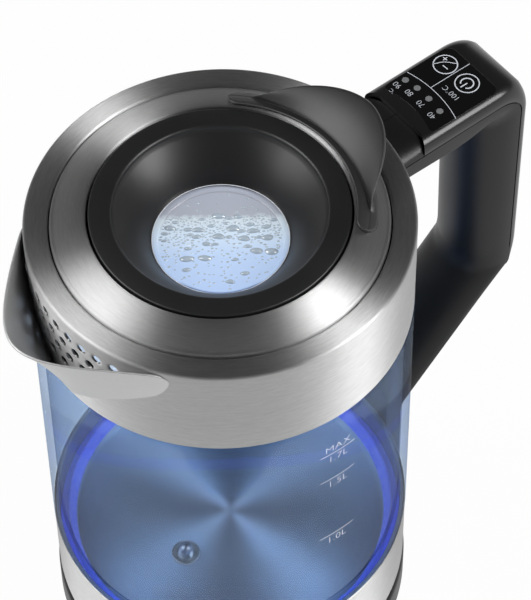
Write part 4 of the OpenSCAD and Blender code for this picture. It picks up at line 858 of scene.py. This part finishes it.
class KETTLE_OT_handle(bpy.types.Operator):
    """Handle: a moulded shell lofted along two side lines, its cover over the top and the back, and its bridge's lid"""
    bl_idname = "kettle.handle"
    bl_label = "Handle"

    def execute(self, context):
        half = mm("handle_width") / 2
        outer, inner, part, c0, c1 = handle_lines()
        trough_last = c1 + RUNS[1] + 3
        self.shell(half, inner, part, c0, trough_last)
        self.cover(half, outer, part, trough_last + ARCS[1] - 5)
        self.bridge(half, outer[0, 1])
        return {"FINISHED"}

    def shell(self, half, inner, part, c0, trough_last):
        """Inner side nearly square on the bridge, blended by a smooth step into the round nose of the grip and the leg.
        A trough runs inside it as far as the station `trough_last`."""
        i = np.arange(len(inner))
        k = ease((i - c0 + 6) / BLEND)[:, None]
        way, depth = unit(part - inner), np.linalg.norm(part - inner, axis=1)[:, None]
        flat, round_d = (half - NOSE) * (1 - k) + k, NOSE * (1 - k) + (depth - 1.5) * k
        trough = (i <= trough_last)[:, None] * 1.0
        solid = 1 - trough

        def half_at(d):
            return half - (half - flat) * (1 - np.sqrt(1 - np.clip(1 - d / round_d, 0, 1) ** 2))

        share = np.array([0, 0.012, 0.04, 0.09, 0.16, 0.25, 0.37, 0.52, 0.7, 0.86, 1.0])
        d = np.concatenate([round_d * share, depth - 1.1, depth - 0.45, depth - 0.45 * trough - 0.3 * solid, depth], 1)
        w = half_at(d)
        w[:, -4:] -= ease((i - trough_last - 5) / LIP_BLEND)[:, None] * np.array([0.3, 0.8, 1.1, 1.6]) * LIP_WIDE
        w[:, -2:] -= trough * GROOVE
        crown, floor_d, wall = solid * 0.5, depth - trough * (depth - 3), half - WALL - solid * 2.6
        ins_d = [depth + crown * 0.4, floor_d + trough * 4 + crown * 0.6, floor_d + crown]
        ins_w = [wall] + [np.where(trough > 0, half_at(at) - open_by, wall - solid_by)
                          for at, open_by, solid_by in ((ins_d[1], 2.7, 0.3), (ins_d[2], 3.9, 4))]
        side = np.concatenate([-w[:, ::-1], w] + ins_w + [-q for q in ins_w[::-1]], 1)
        deep = np.concatenate([d[:, ::-1], d] + ins_d + ins_d[::-1], 1)
        points = clear_of(set_out(inner, way, side, deep), mm("glass_radius") + FIT)
        piece("handle_grip", capped(points), "soft_black", ["handle_shell"], sharp=40)

    def cover(self, half, outer, part, last):
        """A channel whose back is a flattened arch, carried along the parting line; its front is an arc round the axis.
        The top corner is a superellipse, squarest in the middle, so that the back swells like a dome."""
        o, p = outer[COVER_START:last + 1], part[COVER_START:last + 1]
        way, depth = unit(o - p), np.linalg.norm(o - p, axis=1)[:, None]
        sides = [np.c_[line[:, 0] - half, line[:, 1]] for line in (ARCH, ARCH_INSIDE)]
        flat = np.vstack([sides[0], sides[0][::-1] * [-1, 1], sides[1] * [-1, 1], sides[1][::-1]])
        points = set_out(p, way, flat[:, 0] + 0 * depth, flat[:, 1] * depth / COVER_TOP)
        points = clear_of(points, FRONT_ARC, front_of_cover() - FRONT_ARC)
        m = len(ARCH) * 2
        at = np.array([outer[:, 0].max(), outer[0, 1]]) - CORNER
        x, y, z = (points[:, :m, c] for c in range(3))
        across, up = x - at[0], z - at[1]
        power = 1 - 0.6 * (1 - (y / half) ** 2)
        turn = np.arctan2(np.maximum(up, 0), np.maximum(across, 1e-9))
        swell, far = (across > 0) & (up > 0), np.hypot(across, up)
        points[:, :m, 0], points[:, :m, 2] = (np.where(swell, at[0] + far * np.cos(turn) ** power, x),
                                              np.where(swell, at[1] + far * np.sin(turn) ** power, z))
        ends = []
        for e in (0, -1):
            back = points[e, m:][::-1]
            places = np.linspace(0, 1, m), np.linspace(0, 1, len(back))
            stretched = np.stack([np.interp(*places, back[:, c]) for c in range(3)], -1)
            ends.append(patch(np.stack([points[e, :m], stretched])))
        piece("handle_cover_skin", [patch(points, close_n=True)] + ends, "cover_black", ["handle_cover"],
              sharp=40)

    def bridge(self, half, z):
        """The same arch, lower and cut straight across between two circles round the axis."""
        h, low = COVER_TOP - BRIDGE_DROP, z - COVER_TOP + 0.1
        y = np.array([0, 0.15, 0.4, 1.0, 1.7, 2.4, 3.6, 5.0, 7.0])
        up = np.array([0, 0.45, 0.85, 1.5, 2.0, h - 0.95, h - 0.5, h - 0.18, h])
        slit = [[2.3, h], [2.35, h - 0.25], [2.45, h - 0.25], [2.5, h]]
        line = np.vstack([np.c_[y - half, up], slit, np.c_[half - y[::-1], up[::-1]]])
        front = front_of_cover() - FRONT_ARC
        rows = [np.c_[centre + np.sqrt(q ** 2 - line[:, 0] ** 2), line[:, 0], low + np.maximum(0, line[:, 1] - drop)]
                for q, centre, drop in ((mm("glass_radius") + FIT, 0, 0), (FRONT_ARC - 0.7, front, 0),
                                        (FRONT_ARC - 0.3, front, 0.4))]
        first, last = (np.c_[rows[e][:, :2], np.full(len(line), low)] for e in (0, -1))
        piece("bridge_top", [patch(np.array([first, *rows, last]), close_m=True)], "satin_black", ["handle_bridge"],
              sharp=30)


# ---- the panel and the print ----

PANEL_ROUND, PANEL_THICK, PANEL_PROUD = 3.6, 1.2, 0.06
INK_LIFT, INK_THICK = 0.01, 0.04
# places on the panel in millimetres from its front left corner: words and their height, lamps, the two keys
WORDS = (("90", 5.2, 11.2, 3.3), ("80", 6.2, 5.7, 3.3), ("70", 6.1, -0.9, 3.3), ("40", 5.6, -7.6, 3.3),
         ("\u00b0C", 1.9, 10.1, 2.2), ("100\u00b0C", 17.9, -3.9, 3.2))
LAMPS = ((9.0, 11.2), (9.9, 5.6), (9.9, -0.9), (9.2, -7.9))
KEYS = ((25.1, 7.8), (25.4, -4.0))
MARKS = ((163.7, "1.7L"), (147.7, "1.5L"), (110.4, "1.0L"))   # height of each line on the glass, and the text below it
MARK_ANGLE, MARK_SIZE = -92.0, 5.3


def ribbon(line, width, z=0.0):
    """A flat line of even width: its points move half the width to each side, square to the line."""
    p = np.asarray(line, float)
    way = unit(np.gradient(p, axis=0))
    side = np.c_[-way[:, 1], way[:, 0]] * width / 2
    top = z + INK_THICK
    rows = [np.c_[p + side * s, np.full(len(p), h)] for s, h in ((-1, z), (1, z), (1, top), (-1, top))]
    return patch(np.stack(rows, 1), close_n=True)


def letters(text, height, place):
    """Text in Blender's own plain face as a mesh, put in place by a function from its flat points to the piece."""
    curve = bpy.data.curves.new("letters", "FONT")
    curve.body, curve.size, curve.align_x, curve.align_y = text, height, "CENTER", "CENTER"
    curve.extrude, curve.offset, curve.resolution_u = INK_THICK / 2, -0.02 * height, 3
    obj = shown("letters", curve)
    bpy.context.view_layer.update()
    mesh = obj.to_mesh()
    points = np.array([v.co for v in mesh.vertices], float)
    faces = [tuple(f.vertices) for f in mesh.polygons]
    obj.to_mesh_clear()
    bpy.data.objects.remove(obj)
    bpy.data.curves.remove(curve)
    return place(points), faces


class KETTLE_OT_panel(bpy.types.Operator):
    """Control panel: a glossy plate set flush in the cover, with its printed lines, numbers and lamps"""
    bl_idname = "kettle.panel"
    bl_label = "Control panel"

    def execute(self, context):
        z = top_of("control_panel") + PANEL_PROUD
        x0 = mm("handle_reach") - PANEL_BACK - PANEL_LONG
        self.plate(x0, z)
        self.printing(x0, z + INK_LIFT)
        return {"FINISHED"}

    def plate(self, x0, z):
        """The outline is a rounded rectangle whose front edge is an arc; rings shrink it to its middle."""
        x1, w, r = x0 + PANEL_LONG, PANEL_WIDE / 2, PANEL_ROUND
        y = np.linspace(w, -w, 65)[1:-1]
        box = x0 + r - np.sqrt(r ** 2 - np.maximum(np.abs(y) - w + r, 0) ** 2)
        arc = np.c_[np.maximum(x0 + PANEL_BOW - FRONT_ARC + np.sqrt(FRONT_ARC ** 2 - y ** 2), box), y]
        back = rounded([[x0 + r, -w], [x1, -w], [x1, w], [x0 + r, w]], [r, r], 10)
        outline = np.vstack([arc, back])
        middle = np.array([(x0 + x1) / 2 + 1.5, 0])
        rings = [(0, 0), (0.5, 0), (0.985, 0), (0.993, -0.015), (1, -0.07), (1, -PANEL_THICK), (0, -PANEL_THICK)]
        points = np.array([np.c_[middle + (outline - middle) * k, np.full(len(outline), z + h)] for k, h in rings])
        piece("panel", [patch(points, close_n=True)], "panel_black", ["control_panel"])

    def printing(self, x0, z):
        """Lines, rings and letters. The long line is a parabola; the leaf is a slope raised by a squared cosine."""
        y, t = np.linspace(-14.3, 13.7, 41), np.linspace(-1, 1, 25)
        hump = np.cos(np.pi * t / 2)
        leaf = np.c_[25.25 + 3.45 * t + 0.5 * hump * t, 8.2 - 2.8 * t + 1.0 * hump ** 2]
        strokes = [(np.c_[13.75 - (y - 0.6) ** 2 / 94, y], 0.24), ([[13.7, 2.6], [24, 2.6], [32.2, 2.5]], 0.24),
                   *((ring_line(*at, 4.45), 0.42) for at in KEYS), (ring_line(*KEYS[1], 2.4, 215, 505), 0.5),
                   ([[22.3, -3.9], [25.5, -4.0]], 0.5), (leaf, 0.3), ([[26.9, 9.0], [26.7, 10.9]], 0.35),
                   ([[25.8, 9.9], [27.8, 10.0]], 0.35, 0.005), ([[24.1, 8.1], [24.3, 5.5]], 0.4)]
        lines = [(points + [x0, 0, z], faces) for points, faces in (ribbon(*stroke) for stroke in strokes)]
        piece("panel_print", lines, "print", (), sharp=30)
        words = [letters(text, size, lambda p: np.c_[x0 + x - p[:, 1], y + p[:, 0], z + INK_THICK / 2 + p[:, 2]])
                 for text, x, y, size in WORDS]
        piece("panel_numbers", words, "print", (), sharp=30)
        disc, faces = turned(rounded([[0, 0.04], [1.3, 0.04], [1.3, -0.1], [0, -0.1]], [0.04, 0], 3),
                             np.linspace(0, TURN, 33), closed=False)
        piece("panel_lamps", [(disc + [x0 + x, y, z], faces) for x, y in LAMPS], "dull_lamp", ())


class KETTLE_OT_marks(bpy.types.Operator):
    """Volume marks on the glass: lines and letters wrapped onto the cylinder"""
    bl_idname = "kettle.marks"
    bl_label = "Volume marks"

    def execute(self, context):
        r = mm("glass_radius") + 0.03

        def wrapped(height, lift=INK_THICK / 2):
            return lambda p: round_axis(r + lift + p[:, 2], np.radians(MARK_ANGLE) + p[:, 0] / r, height + p[:, 1])

        x = np.linspace(-7.6, 7.6, 13)
        line, faces = ribbon(np.c_[x, 0 * x], 0.3)
        patches = []
        for height, text in MARKS:
            patches += [(wrapped(height, 0)(line), faces), letters(text, MARK_SIZE, wrapped(height - 3.5))]
        patches.append(letters("MAX", MARK_SIZE, wrapped(MARKS[0][0] + 3.1)))
        piece("volume_marks", patches, "mark", (), sharp=30)
        return {"FINISHED"}


# ---- the power base, the inner pieces and the stage ----


class KETTLE_OT_power_base(bpy.types.Operator):
    """Power base: a low round drum turned as one profile, with a rounded shoulder and a flat seat"""
    bl_idname = "kettle.power_base"
    bl_label = "Power base"

    def execute(self, context):
        r, seat, low = mm("base_radius"), top_of("power_base_cover"), foot_of("power_base_cover")
        hole, wall = 12.0, 2.4
        side, under = r - wall, seat - wall
        tray = drum([[r, low], [r, seat], [hole, seat], [hole, under], [side - 1.5, under], [side, under - 1.5],
                     [side, low]], [0.5, 3, 0.6, 0.4, 1, 1, 0.4], 8)
        piece("tray", [tray], "soft_black", ["power_base_cover"], "power_base")
        return {"FINISHED"}


class KETTLE_OT_inner(bpy.types.Operator):
    """Gives every piece of the frame the finish of its material slot"""
    bl_idname = "kettle.inner"
    bl_label = "Inner pieces"

    def execute(self, context):
        slots = {row["node"]: row["material_slot"] for row in frame["record"]["subparts"]}
        for node, obj in frame["nodes"].items():
            obj.data.materials.clear()
            slot = slots[node]
            obj.data.materials.append(finish(NODE_FINISH.get(node, SLOT_FINISH.get(slot, slot))))
        return {"FINISHED"}


CAMERA_F, CAMERA_TILT, CAMERA_ROLL, CAMERA_SCALE = 3055.9, 53.3, -0.94, 0.92
CAMERA_OFFSET = (-17.2, -31.2, 1157.3)
FRAME_PX = (531, 600)
SENSOR = 36
SKY_PALE, SKY_DARK = (0.10, 1.0), (0.42, 0.06)     # sine of the elevation, and the strength from there down or up
FLOOR_HALF, FLOOR_GLOW = 4, 0.97
AIM = 0.2                        # height of the point that the lamps look at
STUDIO = (                       # name, power, size, and place over that point in metres, seen from the camera's side
    ("key_left", 10.5, (0.8, 0.8), (-0.9, -0.02, 0.95)),
    ("key_right", 12.3, (0.5, 0.8), (0.9, -0.20, 0.95)),
)
WHITE = (1, 1, 1, 1)


class KETTLE_OT_stage(bpy.types.Operator):
    """Stage: a pale floor, soft lamps and the camera"""
    bl_idname = "kettle.stage"
    bl_label = "Stage"

    def execute(self, context):
        scene = context.scene
        scene.view_settings.view_transform = "Standard"
        self.world(scene)
        self.floor()
        for name, power, size, place in STUDIO:
            data = bpy.data.lights.new(name, "AREA")
            data.shape, data.energy = "RECTANGLE", power
            data.size, data.size_y = size
            lamp = shown(name, data)
            at = spin(CAMERA_TURN) @ place + [0, 0, AIM]
            lamp.location = at
            lamp.rotation_mode = "QUATERNION"
            lamp.rotation_quaternion = mathutils.Vector([0, 0, AIM] - at).to_track_quat("-Z", "Y")
        self.camera(scene)
        return {"FINISHED"}

    def camera(self, scene):
        """The camera's axes from its tilt, roll and turn; its place puts the kettle's axis at the wanted offset."""
        se, ce = math.sin(math.radians(CAMERA_TILT)), math.cos(math.radians(CAMERA_TILT))
        view = spin(CAMERA_ROLL) @ np.array([[1, 0, 0], [0, -se, -ce], [0, ce, -se]])
        row = spin(CAMERA_TURN)
        place = row @ (-view.T @ np.array(CAMERA_OFFSET)) * CAMERA_SCALE * MM + [0, 0, mm("collar_top") * MM]
        axes = row @ view.T @ np.diag([1, -1, -1])
        data = bpy.data.cameras.new("camera")
        data.sensor_width, data.lens = SENSOR, CAMERA_F * SENSOR / max(FRAME_PX)
        data.clip_start, data.clip_end = 0.05, 20
        scene.camera = shown("camera", data)
        scene.camera.matrix_world = mathutils.Matrix.Translation(place) @ mathutils.Matrix(axes.tolist()).to_4x4()

    def world(self, scene):
        """The sky is white from the horizon up to its pale height, and falls smoothly to a dark strength overhead."""
        scene.world = bpy.data.worlds.new("studio")
        scene.world.use_nodes = True
        tree = scene.world.node_tree
        tree.nodes.clear()
        height = add(tree, "SeparateXYZ", _0=add(tree, "TexCoord").outputs["Generated"]).outputs["Z"]
        strength = add(tree, "MapRange", interpolation_type="SMOOTHSTEP", Value=height, From_Min=SKY_PALE[0],
                       From_Max=SKY_DARK[0], To_Min=SKY_PALE[1], To_Max=SKY_DARK[1]).outputs[0]
        add(tree, "OutputWorld", Surface=add(tree, "Background", Color=WHITE, Strength=strength).outputs[0])

    def floor(self):
        """A grey sheet whose share FLOOR_GLOW shines white to the camera, to mirrors and through glass alone."""
        mesh = bpy.data.meshes.new("floor")
        corners = [(x * FLOOR_HALF, y * FLOOR_HALF, 0) for x, y in ((-1, -1), (1, -1), (1, 1), (-1, 1))]
        mesh.from_pydata(corners, [], [(0, 1, 2, 3)])
        shown("floor", mesh)
        material, tree, shader = new_material("floor", (0.8, 0.8, 0.8), Roughness=0.9)
        rays = add(tree, "LightPath").outputs
        seen = maths(tree, "MAXIMUM", maths(tree, "MAXIMUM", rays["Is Camera Ray"], rays["Is Glossy Ray"]),
                     rays["Is Transmission Ray"])
        glow = add(tree, "Emission", Color=WHITE, Strength=1.0)
        surface(tree, add(tree, "MixShader", _0=maths(tree, "MULTIPLY", seen, FLOOR_GLOW), _1=shader.outputs[0],
                          _2=glow.outputs[0]).outputs[0])
        mesh.materials.append(material)


OPERATORS = (KETTLE_OT_collar, KETTLE_OT_spout, KETTLE_OT_glass, KETTLE_OT_base, KETTLE_OT_lid, KETTLE_OT_tab,
             KETTLE_OT_handle, KETTLE_OT_panel, KETTLE_OT_marks, KETTLE_OT_power_base, KETTLE_OT_inner, KETTLE_OT_stage)


class KETTLE_PT_panel(bpy.types.Panel):
    """Sidebar tab with the kettle's sizes, its colours and a button for each group of pieces"""
    bl_idname = "KETTLE_PT_panel"
    bl_label = "Glass kettle"
    bl_space_type = "VIEW_3D"
    bl_region_type = "UI"
    bl_category = "Kettle"

    def draw(self, context):
        for group in (context.scene.kettle_sizes, context.scene.kettle_colours):
            for name in group.bl_rna.properties.keys():
                if name not in ("rna_type", "name"):
                    self.layout.prop(group, name)
        for operator in OPERATORS:
            self.layout.operator(operator.bl_idname)


CLASSES = (KettleSizes, KettleColours, *OPERATORS, KETTLE_PT_panel)


def register():
    for cls in CLASSES:
        bpy.utils.register_class(cls)
    bpy.types.Scene.kettle_sizes = bpy.props.PointerProperty(type=KettleSizes)
    bpy.types.Scene.kettle_colours = bpy.props.PointerProperty(type=KettleColours)


def unregister():
    del bpy.types.Scene.kettle_sizes, bpy.types.Scene.kettle_colours
    for cls in reversed(CLASSES):
        bpy.utils.unregister_class(cls)


def main():
    register()
    make_materials()
    for operator in OPERATORS:
        group, name = operator.bl_idname.split(".")
        getattr(getattr(bpy.ops, group), name)()


if __name__ == "__main__":
    main()
